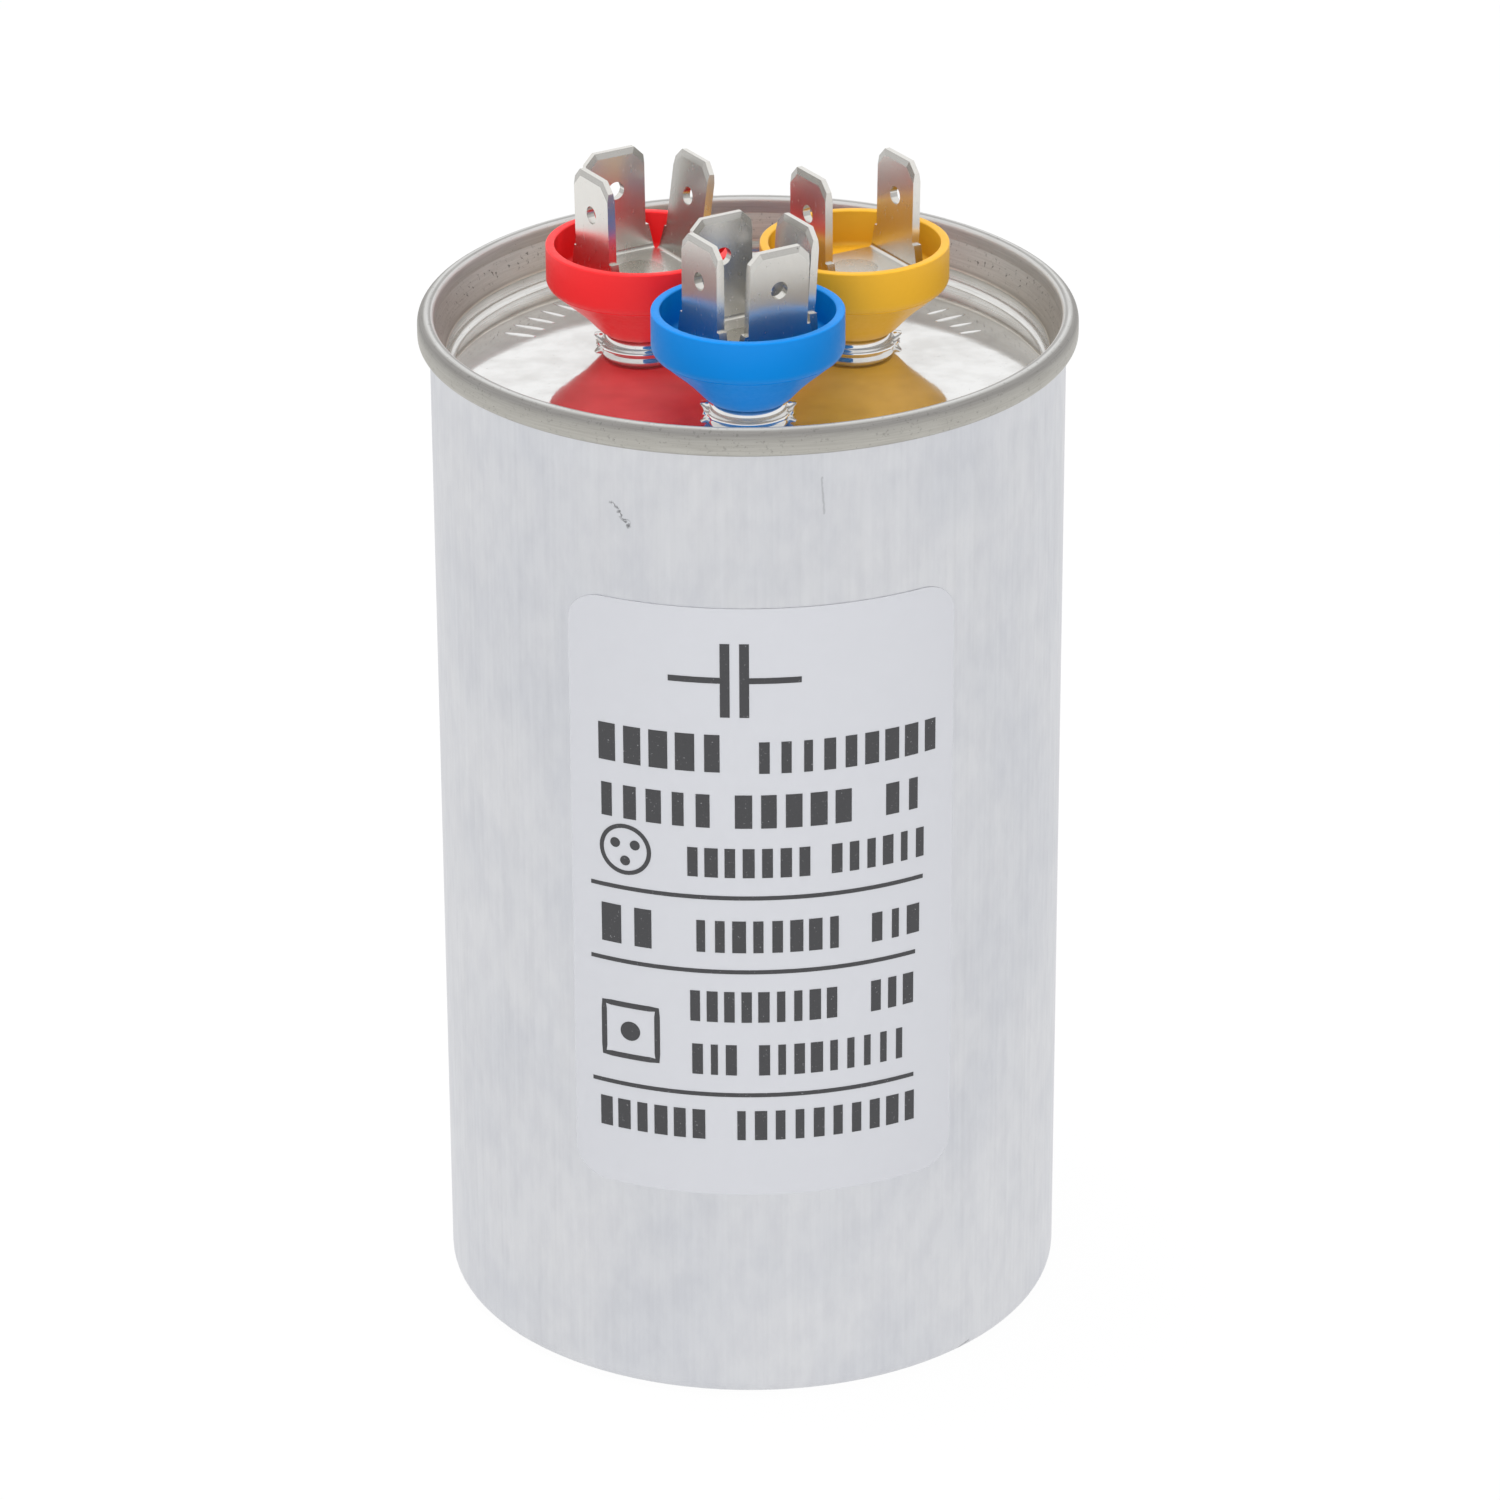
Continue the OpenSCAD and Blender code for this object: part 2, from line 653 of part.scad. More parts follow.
// Lead that rises through the core tube from a run under the sprayed lower end
module blue_lead() {
    run_z = common_spray_z - solder_gap - lead_d / 2;
    color("royalblue") {
        translate([0, 0, run_z + lead_bend_r])
            cylinder(h = lug_z + lug_t - run_z - lead_bend_r, d = lead_d, $fn = 32);
        rotate([0, 0, blue_at]) {
            translate([lead_bend_r, 0, run_z + lead_bend_r]) rotate([90, 0, 0]) rotate([0, 0, 180])
                rotate_extrude(angle = 90) translate([lead_bend_r, 0]) circle(d = lead_d, $fn = 32);
            translate([lead_bend_r, 0, run_z]) rotate([0, 90, 0])
                cylinder(h = blue_lead_r - lead_bend_r, d = lead_d, $fn = 32);
        }
    }
}

// Solder cone round the foot of a straight lead
module solder_cone(bearing, lead_r) {
    color("lightsteelblue") rotate([0, 0, bearing]) translate([lead_r, 0, top_insulator_z]) difference() {
        cylinder(h = solder_h, d1 = solder_d, d2 = lead_d + 2 * solder_lip, $fn = 48);
        translate([0, 0, -over]) cylinder(h = solder_h + 2 * over, d = lead_d, $fn = 32);
    }
}

module red_solder() { solder_cone(red_at, red_lead_r); }
module yellow_solder() { solder_cone(yellow_at, yellow_lead_r); }

// Solder pad between the end of the blue lead and the sprayed lower end
module blue_solder() {
    color("lightsteelblue") rotate([0, 0, blue_at])
        translate([blue_lead_r, 0, common_spray_z - lead_d]) difference() {
            cylinder(h = lead_d, d = solder_d, $fn = 48);
            translate([-solder_d, 0, lead_d / 2 - solder_gap]) rotate([0, 90, 0])
                cylinder(h = solder_d, d = lead_d, $fn = 32);
        }
}

can();
lid();
seam_compound();
label();
red_cup();
blue_cup();
yellow_cup();
red_terminal();
blue_terminal();
yellow_terminal();
red_rivet();
blue_rivet();
yellow_rivet();
red_bush();
blue_bush();
yellow_bush();
red_lug();
blue_lug();
yellow_lug();
interrupter_disc();
top_insulator();
liner();
bottom_tray();
core_tube();
inner_winding();
section_sleeve();
outer_winding();
inner_end_spray();
outer_end_spray();
common_end_spray();
red_lead();
blue_lead();
yellow_lead();
red_solder();
blue_solder();
yellow_solder();
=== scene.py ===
"""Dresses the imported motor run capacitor: finishes, label print, pressed lid, cups and studio."""

import logging
import math
from dataclasses import dataclass, field, replace
from enum import Enum
from typing import Any

import bmesh
import bpy
from mathutils import Matrix, Vector


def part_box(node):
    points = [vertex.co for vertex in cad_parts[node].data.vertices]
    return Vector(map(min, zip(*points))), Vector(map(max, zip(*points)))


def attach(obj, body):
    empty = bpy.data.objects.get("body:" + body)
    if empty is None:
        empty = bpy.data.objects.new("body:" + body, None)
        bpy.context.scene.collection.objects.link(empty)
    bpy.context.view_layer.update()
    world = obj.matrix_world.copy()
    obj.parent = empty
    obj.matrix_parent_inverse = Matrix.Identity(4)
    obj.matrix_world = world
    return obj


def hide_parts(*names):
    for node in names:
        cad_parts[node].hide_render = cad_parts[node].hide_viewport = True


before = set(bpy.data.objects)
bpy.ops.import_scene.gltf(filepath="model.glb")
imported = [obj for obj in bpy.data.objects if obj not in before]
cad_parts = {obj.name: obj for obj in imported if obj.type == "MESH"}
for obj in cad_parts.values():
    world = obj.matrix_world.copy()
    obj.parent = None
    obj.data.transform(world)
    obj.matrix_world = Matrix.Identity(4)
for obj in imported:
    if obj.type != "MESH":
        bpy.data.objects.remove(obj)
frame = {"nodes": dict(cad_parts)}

LOG = logging.getLogger("capacitor")
BODY = "root"
MM = 0.001

# Angle of each terminal round the can, anticlockwise from the right, and its distance from the axis
BEARINGS = {"red": 150.0, "blue": 270.0, "yellow": 30.0}
PITCH_R = 11.7
# Height of the lid's level panel
PANEL_Z = 95.0

# Range that nearly all of an unevenness lies in
SPREAD = (0.25, 0.75)

# Types of node that are added often
MATH, VECTOR, MIX = "ShaderNodeMath", "ShaderNodeVectorMath", "ShaderNodeMix"
RANGE, RAMP, RANDOM = "ShaderNodeMapRange", "ShaderNodeValToRGB", "FunctionNodeRandomValue"
JOIN, SPLIT = "ShaderNodeCombineXYZ", "ShaderNodeSeparateXYZ"

Colour = tuple[float, float, float, float]
Spot = tuple[float, float]
Point = tuple[float, float, float]
Stops = tuple[tuple[float, str | float], ...]
Tree = bpy.types.NodeTree
Node = bpy.types.Node
Source = Node | bpy.types.NodeSocket
Thing = bpy.types.Object
Material = bpy.types.Material
Ring = list[bmesh.types.BMVert]


class Pattern(Enum):
    """How a surface was made, as the scale of its unevenness along X, Y and Z."""

    GRAIN = (1.0, 1.0, 1.0)
    DRAWN = (1.0, 1.0, 0.02)
    ROLLED = (1.0, 1.0, 0.3)
    BLOTCHED = (1.0, 1.0, 0.4)
    FIBRE = (0.12, 1.0, 1.0)


def linear(hex_colour: str) -> Colour:
    """Turns an sRGB hex colour into the linear colour that a shader takes.

    Args:
        hex_colour: Six hex digits after a hash sign.

    Returns:
        Red, green, blue and alpha, from 0 to 1.
    """
    parts = [int(hex_colour[i:i + 2], 16) / 255 for i in (1, 3, 5)]
    toe, slope, lift, power = 0.04045, 12.92, 0.055, 2.4
    return (*[c / slope if c <= toe else ((c + lift) / (1 + lift)) ** power for c in parts], 1.0)


def plug(tree: Tree, node: Node, inputs: dict[str | int, Any]) -> None:
    """Sets or links a node's inputs.

    Args:
        tree: The node's tree.
        node: The node.
        inputs: A value, a socket, or a node whose first output counts, by name or index.
    """
    for key, value in inputs.items():
        if isinstance(value, Node):
            value = next(socket for socket in value.outputs if socket.enabled)
        if isinstance(value, bpy.types.NodeSocket):
            tree.links.new(value, node.inputs[key])
        else:
            node.inputs[key].default_value = value


def add_node(
    tree: Tree, kind: str, inputs: dict[str | int, Any] | None = None, operation: str = "",
    stops: Stops = (), **settings: Any,
) -> Node:
    """Adds a node, sets it up and links it.

    Args:
        tree: The tree that the node goes into.
        kind: The node's type.
        inputs: What each input gets.
        operation: What a node for sums does.
        stops: A ramp's positions from 0 to 1 in rising order, with a hex colour or a plain value.
        **settings: A value for each property of the node.

    Returns:
        The new node.
    """
    node = tree.nodes.new(kind)
    if operation:
        node.operation = operation
    for name, value in settings.items():
        setattr(node, name, value)
    if stops:
        elements = node.color_ramp.elements
        for _ in stops[2:]:
            elements.new(1.0)
        for element, (position, shade) in zip(elements, stops):
            element.position = position
            element.color = linear(shade) if isinstance(shade, str) else (shade, shade, shade, 1.0)
    plug(tree, node, inputs or {})
    return node


@dataclass
class Ground:
    """A material's tree, its Object coordinates, and its surface's pattern, a value round 0.5."""

    tree: Tree
    place: Source
    uneven: Source | None = None

    def tint(self, base: Source, mask: Source, stops: Stops, share: Source | float = 1.0) -> Source:
        """Multiplies a colour by a ramp that a mask drives.

        Args:
            base: The colour.
            mask: A value from 0 to 1.
            stops: The ramp's stops.
            share: How far the ramp counts.

        Returns:
            The darkened colour.
        """
        ramp = add_node(self.tree, RAMP, {"Fac": mask}, stops=stops)
        return add_node(
            self.tree, MIX, {"Factor": share, "A": base, "B": ramp}, data_type="RGBA",
            blend_type="MULTIPLY")


@dataclass(frozen=True)
class Unevenness:
    """Soft variation over a surface.

    size is its largest features in millimetres, layers the number of finer ones, and decay how
    strong each is against the one before.
    """

    size: float
    layers: float = 3.0
    run: Pattern = Pattern.GRAIN
    decay: float = 0.6

    def over(self, ground: Ground) -> Source:
        """Spreads it over a surface.

        Args:
            ground: The material's tree and coordinates.

        Returns:
            A value round 0.5.
        """
        tree, place = ground.tree, ground.place
        if self.run is not Pattern.GRAIN:
            place = add_node(tree, "ShaderNodeMapping", {"Vector": place, "Scale": self.run.value})
        return add_node(tree, "ShaderNodeTexNoise", {
            "Vector": place, "Scale": 1 / (self.size * MM), "Detail": self.layers,
            "Roughness": self.decay})


@dataclass(frozen=True)
class Finish:
    """A real material with the way its surface was made.

    Lengths are in millimetres. shade and gloss say how far the pattern darkens the colour and
    roughens the surface, relief is the height of its bumps, and speck is the size of dark specks.
    The last two fields give painted shade on leaning faces: how much darker they are, and lean
    where that starts and ends.
    """

    name: str
    colour: str
    metallic: float = 0.0
    roughness: float = 0.5
    ior: float = 1.5
    pattern: Pattern = Pattern.GRAIN
    grain: float = 0.6
    shade: float = 0.06
    gloss: float = 0.08
    relief: float = 0.01
    specular: float = 0.5
    speck: float = 0.0
    specks: Stops = ((0.76, 1.0), (0.82, 0.6))
    # Painted shade on leaning faces such as bevels: how much darker they are, and the tilts where
    # it starts and ends
    painted_bevel_shade: float = 0.0
    lean: tuple[float, ...] = (0.06, 0.12, 0.5, 0.6)

    def build(self) -> Material:
        """Makes the material.

        Returns:
            The finished material.
        """
        material = bpy.data.materials.new(self.name)
        material.use_nodes = True
        tree = material.node_tree
        shader = tree.nodes["Principled BSDF"]
        plug(tree, shader, {"Metallic": self.metallic})
        if not self.metallic:
            plug(tree, shader, {"IOR": self.ior, "Specular IOR Level": self.specular})
        ground = Ground(tree, add_node(tree, "ShaderNodeTexCoord").outputs["Object"])
        ground.uneven = self.surface(ground)
        bump = add_node(
            tree, "ShaderNodeBump",
            {"Height": ground.uneven, "Distance": self.relief * MM, "Strength": 1.0})
        plug(tree, shader, {
            "Base Color": self.paint(ground), "Roughness": self.polish(ground), "Normal": bump})
        return material

    def surface(self, ground: Ground) -> Source:
        """Makes the fine unevenness that the surface was left with, a value round 0.5."""
        return Unevenness(self.grain, 4.0, self.pattern).over(ground)

    def paint(self, ground: Ground) -> Source:
        """Colours the surface: the plain colour, a little darker where the pattern is low, with
        dark specks and painted shade on leaning faces where set.

        Args:
            ground: The material's tree, coordinates and pattern.

        Returns:
            The colour.
        """
        tree = ground.tree
        plain = linear(self.colour)
        dark = (*(c * (1 - self.shade) for c in plain[:3]), 1.0)
        colour = add_node(
            tree, MIX, {"Factor": ground.uneven, "A": dark, "B": plain}, data_type="RGBA")
        if self.speck:
            colour = ground.tint(colour, Unevenness(self.speck, 1.0).over(ground), self.specks)
        # Painted shade: darkens faces that lean, such as the blades' bevels, where the real blades
        # reflect darker surroundings
        if self.painted_bevel_shade:
            facing = add_node(tree, "ShaderNodeTexCoord").outputs["Normal"]
            rise = add_node(tree, SPLIT, {"Vector": facing}).outputs["Z"]
            tilt = add_node(tree, MATH, {0: rise}, "ABSOLUTE")
            dull = 1 - self.painted_bevel_shade
            colour = ground.tint(colour, tilt, tuple(zip(self.lean, (1.0, dull, dull, 1.0))))
        return colour

    def polish(self, ground: Ground) -> Source:
        """Sets the roughness, which varies with the pattern.

        Args:
            ground: The material's tree, coordinates and pattern.

        Returns:
            The roughness.
        """
        return add_node(
            ground.tree, RANGE,
            {"Value": ground.uneven, "From Min": SPREAD[0], "From Max": SPREAD[1],
             "To Min": self.roughness + self.gloss, "To Max": self.roughness - self.gloss})


@dataclass(frozen=True)
class Scratch:
    """A mark on the can's wall: millimetres along the arc from the front and up from the foot."""

    start: Spot
    end: Spot
    width: float
    shade: float
    wander: float = 0.4
    sway: float = 0.7

    def mask(self, ground: Ground, flat: Source) -> Source:
        """Finds the scratch: 1 on its line, 0 away from it.

        Args:
            ground: The material's tree and coordinates.
            flat: The place on the unrolled wall, in metres.

        Returns:
            The mask.
        """
        tree = ground.tree
        start, end = Vector(self.start) * MM, Vector(self.end) * MM
        run = end - start
        sway = add_node(
            tree, RANGE,
            {"Value": Unevenness(self.sway).over(ground), "To Min": -self.wander * MM,
             "To Max": self.wander * MM})
        bent = add_node(tree, VECTOR, {0: flat, 1: sway}, "ADD")
        off = add_node(tree, VECTOR, {0: bent, 1: (*start, 0.0)}, "SUBTRACT")
        along = add_node(
            tree, VECTOR, {0: off, 1: (*(run / run.length_squared), 0.0)}, "DOT_PRODUCT")
        held = add_node(tree, "ShaderNodeClamp", {"Value": along})
        foot = add_node(tree, VECTOR, {0: (*run, 0.0), "Scale": held}, "SCALE")
        gap = add_node(tree, VECTOR, {0: off, 1: foot}, "DISTANCE")
        return add_node(
            tree, RANGE,
            {"Value": gap, "From Max": self.width * MM, "To Min": 1.0, "To Max": 0.0},
            interpolation_type="SMOOTHSTEP")


@dataclass(frozen=True)
class DrawnAluminium(Finish):
    """Soft aluminium drawn in a die and degreased: satin, with faint lines along the draw."""

    radius: float = 30.0
    # Broad clouds and blotches, with how each darkens the colour
    veils: tuple[tuple[Unevenness, Stops], ...] = (
        (Unevenness(16.0), ((0.35, "#f6f7f9"), (0.65, "#ffffff"))),
        (Unevenness(1.5, 5.0, Pattern.BLOTCHED), ((0.36, "#f9f9fa"), (0.6, "#ffffff"))))
    scratches: tuple[Scratch, ...] = (
        Scratch((-13.0, 92.5), (-12.2, 92.0), 0.16, 0.35),
        Scratch((-12.1, 91.7), (-11.2, 90.4), 0.3, 0.3, 0.7),
        Scratch((6.9, 92.1), (6.7, 95.6), 0.16, 0.75, 0.15),
        Scratch((22.3, 0.6), (23.4, 1.1), 0.3, 0.5))

    def paint(self, ground: Ground) -> Source:
        """Colours the wall with draw lines, broad clouds, blotches and a few scratches.

        Args:
            ground: The material's tree, coordinates and pattern.

        Returns:
            The colour.
        """
        tree = ground.tree
        colour = super().paint(ground)
        for shape, stops in self.veils:
            colour = ground.tint(colour, shape.over(ground), stops)
        split = add_node(tree, SPLIT, {"Vector": ground.place}).outputs
        front = add_node(tree, MATH, {0: split["Y"], 1: -1.0}, "MULTIPLY")
        turn = add_node(tree, MATH, {0: split["X"], 1: front}, operation="ARCTAN2")
        arc = add_node(tree, MATH, {0: turn, 1: self.radius * MM}, "MULTIPLY")
        flat = add_node(tree, JOIN, {"X": arc, "Y": split["Z"]})
        for scratch in self.scratches:
            stops = ((0.0, 1.0), (1.0, scratch.shade))
            colour = ground.tint(colour, scratch.mask(ground, flat), stops)
        return colour


@dataclass(frozen=True)
class SeamedTinplate(Finish):
    """Bright tinplate: nearly a mirror on the pressed panel, brushed and greyer where rolled, with
    painted highlights and shade along the bead and the seam.

    The real turning lines are finer than brush, which is as coarse as they need to be to show.
    """

    # Radii between which the panel turns into rolled metal, and heights where a boss begins
    rolled: Spot = (27.8, 28.1)
    pressed: Spot = (0.15, 0.3)
    wall_r: float = 29.6
    turn_r: float = 30.1
    top_z: float = 100.85
    brush: float = 0.14
    brush_run: float = 4.0
    cloud: float = 3.2
    fleck: float = 0.16
    scuff: float = 0.4
    boss_dull: float = 0.12
    # How the waves, the scuffs and the flecks darken the colour
    waved: Stops = ((0.3, "#eeedec"), (0.64, "#ffffff"))
    scraped: Stops = ((0.6, 1.0), (0.68, 0.4))
    flecked: Stops = ((0.74, 1.0), (0.8, "#968d82"))
    # Painted light in the colours below: a yellowish highlight line on the bead with painted shade
    # just below and above it, bright highlight lines with a grey line between on the seam's top,
    # and a painted dark reflection round the seam's outer corner
    # Way along the section in millimetres, with the colour, the roughness and the scuffs there
    tones_and_painted_light: Stops = (
        (0.0, "#e8e8e6"), (0.5, "#dddcd9"), (1.1, "#d2d0cb"), (1.6, "#bcb9b3"), (1.75, "#eeeae0"),
        (1.95, "#a9a59e"), (2.3, "#c1beb8"), (4.4, "#c0beba"), (5.2, "#c0bfbd"), (5.6, "#e2e2e1"),
        (6.0, "#e0e0df"), (6.15, "#b6b5b3"), (6.3, "#b8b7b5"), (6.45, "#e0e0df"),
        (6.65, "#dcdcda"), (7.0, "#a4a29f"), (7.6, "#9a9895"), (8.1, "#adaba6"), (8.6, "#b6b4ae"),
        (9.9, "#c0beb7"))
    roughs: Stops = (
        (0.0, 0.12), (0.8, 0.25), (2.0, 0.4), (4.8, 0.42), (5.4, 0.5), (7.0, 0.52), (7.8, 0.5),
        (9.9, 0.46))
    scuffed: Stops = (
        (0.0, 0.0), (2.2, 0.0), (3.0, 1.0), (3.7, 1.0), (4.6, 0.0), (5.9, 0.0), (6.2, 0.35),
        (9.9, 0.35))

    def along(self, ground: Ground) -> tuple[Source, Source, Source]:
        """Measures the way along the lid's section, from the panel's edge over the seam and down.

        Args:
            ground: The material's tree and coordinates.

        Returns:
            The way in metres, the direction from the axis, and 1 on the rolled metal.
        """
        tree = ground.tree
        split = add_node(tree, SPLIT, {"Vector": ground.place}).outputs
        flat = add_node(tree, JOIN, {"X": split["X"], "Y": split["Y"]})
        radius = add_node(tree, VECTOR, {0: flat}, "LENGTH")
        heading = add_node(tree, VECTOR, {0: flat}, "NORMALIZE")
        rise = add_node(tree, MATH, {0: split["Z"], 1: PANEL_Z * MM}, "SUBTRACT")
        out = add_node(tree, MATH, {0: radius, 1: self.wall_r * MM}, "SUBTRACT")
        beyond = add_node(tree, MATH, {0: out, 1: 0.0}, "MAXIMUM")
        fall = add_node(tree, MATH, {0: (2 * self.top_z - PANEL_Z) * MM, 1: split["Z"]}, "SUBTRACT")
        over = add_node(tree, MATH, {0: radius, 1: self.turn_r * MM}, "GREATER_THAN")
        height = add_node(tree, MIX, {"Factor": over, "A": rise, "B": fall})
        way = add_node(tree, MATH, {0: height, 1: beyond}, "ADD")
        rolled = add_node(
            tree, RANGE,
            {"Value": radius, "From Min": self.rolled[0] * MM, "From Max": self.rolled[1] * MM})
        pressed = add_node(
            tree, RANGE,
            {"Value": rise, "From Min": self.pressed[0] * MM, "From Max": self.pressed[1] * MM,
             "To Max": self.boss_dull})
        dull = add_node(tree, MATH, {0: rolled, 1: pressed}, "MAXIMUM")
        return way, heading, dull

    def ramp_along(self, tree: Tree, way: Source, stops: Stops) -> Source:
        """Reads a ramp whose stops are in millimetres along the section.

        Args:
            tree: The material's tree.
            way: The way along the section, in metres.
            stops: The ramp's stops.

        Returns:
            The ramp's colour.
        """
        whole = stops[-1][0]
        share = add_node(tree, MATH, {0: way, 1: whole * MM}, "DIVIDE")
        parts = tuple((stop / whole, value) for stop, value in stops)
        return add_node(tree, RAMP, {"Fac": share}, stops=parts)

    def surface(self, ground: Ground) -> Source:
        """Makes soft waves on the panel and fine lines round the rolled metal.

        Args:
            ground: The material's tree and coordinates.

        Returns:
            The surface's pattern, a value round 0.5.
        """
        tree = ground.tree
        way, heading, rolled = self.along(ground)
        girth = add_node(
            tree, VECTOR,
            {0: heading, "Scale": self.wall_r * self.brush / self.brush_run * MM}, "SCALE")
        lift = add_node(tree, JOIN, {"Z": way})
        brushed = add_node(tree, VECTOR, {0: girth, 1: lift}, "ADD")
        return add_node(
            tree, MIX,
            {"Factor": rolled, "A": Unevenness(self.cloud, 2.0).over(ground),
             "B": Unevenness(self.brush).over(replace(ground, place=brushed))})

    def paint(self, ground: Ground) -> Source:
        """Colours the bright panel and the greyer rolled metal, with smudges, specks and scuffs,
        and painted highlights and shade along the section.

        Args:
            ground: The material's tree, coordinates and pattern.

        Returns:
            The colour.
        """
        tree = ground.tree
        way, _, rolled = self.along(ground)
        # The rolled metal's colour along the section holds painted highlights and painted shade
        base = add_node(
            tree, MIX,
            {"Factor": rolled, "A": linear(self.colour),
             "B": self.ramp_along(tree, way, self.tones_and_painted_light)}, data_type="RGBA")
        colour = ground.tint(base, ground.uneven, self.waved)
        colour = ground.tint(
            colour, Unevenness(self.scuff).over(ground), self.scraped,
            self.ramp_along(tree, way, self.scuffed))
        return ground.tint(colour, Unevenness(self.fleck, 1.0).over(ground), self.flecked)

    def polish(self, ground: Ground) -> Source:
        """Sets the roughness: nearly a mirror on the panel, satin on the rolled metal.

        Args:
            ground: The material's tree, coordinates and pattern.

        Returns:
            The roughness.
        """
        tree = ground.tree
        way, _, rolled = self.along(ground)
        waves = Unevenness(self.cloud, 5.0).over(ground)
        return add_node(
            tree, MIX,
            {"Factor": rolled, "A": super().polish(replace(ground, uneven=waves)),
             "B": self.ramp_along(tree, way, self.roughs)})


@dataclass(frozen=True)
class PrintInk(Finish):
    """Thermal transfer ink on film, thin and a little broken."""

    film: str = "#b4b5b8"
    wear: float = 0.66
    fade: float = 0.12

    def paint(self, ground: Ground) -> Source:
        """Colours the ink, with specks of the film where it didn't take.

        Args:
            ground: The material's tree, coordinates and pattern.

        Returns:
            The colour.
        """
        stops = ((self.wear, self.colour), (self.wear + self.fade, self.film))
        return add_node(ground.tree, RAMP, {"Fac": ground.uneven}, stops=stops)


# Drawn aluminium: a bright satin that shows faint lines up the can
CAN = DrawnAluminium(
    "drawn_aluminium", "#dfe0e3", metallic=1.0, roughness=0.45, pattern=Pattern.DRAWN, grain=0.5,
    shade=0.07, gloss=0.05, relief=0.003)
# Tinplate: the bright panel shows the cups upside down; a thin haze keeps its reflections pale
LID = SeamedTinplate(
    "bright_tinplate", "#eeeeed", metallic=0.95, roughness=0.06, gloss=0.03, relief=0.005)
# Polyester film with a white coat: smooth and cool white
FILM = Finish(
    "polyester_film", "#b2b3b7", roughness=0.42, ior=1.57, grain=2.0, shade=0.02, gloss=0.04,
    relief=0.004)
# Thermal transfer ink: flat and nearly black, with pinholes
INK = PrintInk("transfer_ink", "#323234", roughness=0.5, grain=0.2, relief=0.003)
# Glass-filled PBT from a polished mould: satin, with a soft bright rim
RED = Finish(
    "red_pbt", "#e8282b", roughness=0.38, ior=1.55, grain=0.5, shade=0.04, relief=0.004,
    specular=0.25)
BLUE = replace(RED, name="blue_pbt", colour="#007ccc", specular=0.18)
YELLOW = replace(RED, name="yellow_pbt", colour="#dba52a")
# Brass strip tinned before stamping: soft grey shine with a fine grain along the strip, and painted
# shade on its bevels
BLADE = Finish(
    "tinned_brass", "#e4e2dd", metallic=0.97, roughness=0.26, pattern=Pattern.ROLLED, grain=0.3,
    shade=0.07, gloss=0.02, relief=0.0002, speck=0.3, painted_bevel_shade=0.35)
# Brass wire headed cold and tinned: a shade warmer than the blades
RIVET = Finish(
    "tinned_rivet_brass", "#cfccc4", metallic=1.0, roughness=0.3, grain=0.4, relief=0.004)
# Butyl sealing compound, sprayed and cured: dull and rubbery
COMPOUND = Finish("butyl_compound", "#24382b", roughness=0.7, ior=1.52, grain=0.3, relief=0.02)
# Natural nylon, moulded: waxy and off-white
NYLON = Finish("natural_nylon", "#e8e2d2", roughness=0.45, ior=1.53, grain=0.6, relief=0.006)
# Rolled brass, left bare: yellow and clean
LUG = Finish("rolled_brass", "#c9a85c", metallic=1.0, roughness=0.32, grain=0.4, relief=0.004)
# Moulded polypropylene: cream and slightly greasy
DISC = Finish("moulded_polypropylene", "#dfd2ae", roughness=0.5, ior=1.49, grain=0.8, relief=0.006)
# Pressboard: matt brown with fibres that lie one way
BOARD = Finish(
    "pressboard", "#b8935f", roughness=0.8, ior=1.47, pattern=Pattern.FIBRE, grain=0.5, shade=0.2,
    relief=0.03)
# Extruded polypropylene: milky, with faint lines along the tube
CORE = Finish("extruded_polypropylene", "#e6e6dc", roughness=0.45, ior=1.49, pattern=Pattern.DRAWN)
# Metallised film wound on edge: grey silver with fine lines up the roll
ROLL = Finish(
    "metallised_film", "#c7c9cc", metallic=0.6, roughness=0.3, pattern=Pattern.DRAWN, grain=0.3,
    shade=0.2, relief=0.01)
# Zinc sprayed on the film's ends: a grey, gritty crust
SPRAY = Finish(
    "sprayed_zinc", "#8b8d90", metallic=0.8, roughness=0.65, grain=0.35, shade=0.4, relief=0.08)
# PVC extruded over wire: slate grey and smooth
WIRE = Finish("pvc_insulation", "#4d525f", roughness=0.4, ior=1.53, grain=0.5, relief=0.006)
# Tin solder, flowed and set: bright with soft ripples
SOLDER = Finish(
    "tin_solder", "#b4b6b8", metallic=1.0, roughness=0.28, grain=0.7, shade=0.12, relief=0.03)

NODE_FINISH: dict[str, Finish] = {
    "can": CAN, "lid": LID, "seam_compound": COMPOUND, "label": FILM,
    "red_cup": RED, "blue_cup": BLUE, "yellow_cup": YELLOW,
    "interrupter_disc": DISC, "bottom_tray": DISC, "top_insulator": BOARD, "liner": BOARD,
    "section_sleeve": BOARD, "core_tube": CORE, "inner_winding": ROLL, "outer_winding": ROLL,
    "inner_end_spray": SPRAY, "outer_end_spray": SPRAY, "common_end_spray": SPRAY,
    **{f"{side}_{part}": finish for side in BEARINGS for part, finish in (
        ("terminal", BLADE), ("rivet", RIVET), ("bush", NYLON), ("lug", LUG), ("lead", WIRE),
        ("solder", SOLDER))},
}


def polar(radius: float, turn: float) -> Spot:
    """Gives the point at a distance and an angle in radians, anticlockwise from the right."""
    return radius * math.cos(turn), radius * math.sin(turn)


def place(name: str, data: bpy.types.ID) -> Thing:
    """Puts data into the scene at the origin.

    Args:
        name: The object's name.
        data: Its mesh, lamp or camera.

    Returns:
        The object.
    """
    thing = bpy.data.objects.new(name, data)
    bpy.context.collection.objects.link(thing)
    return thing


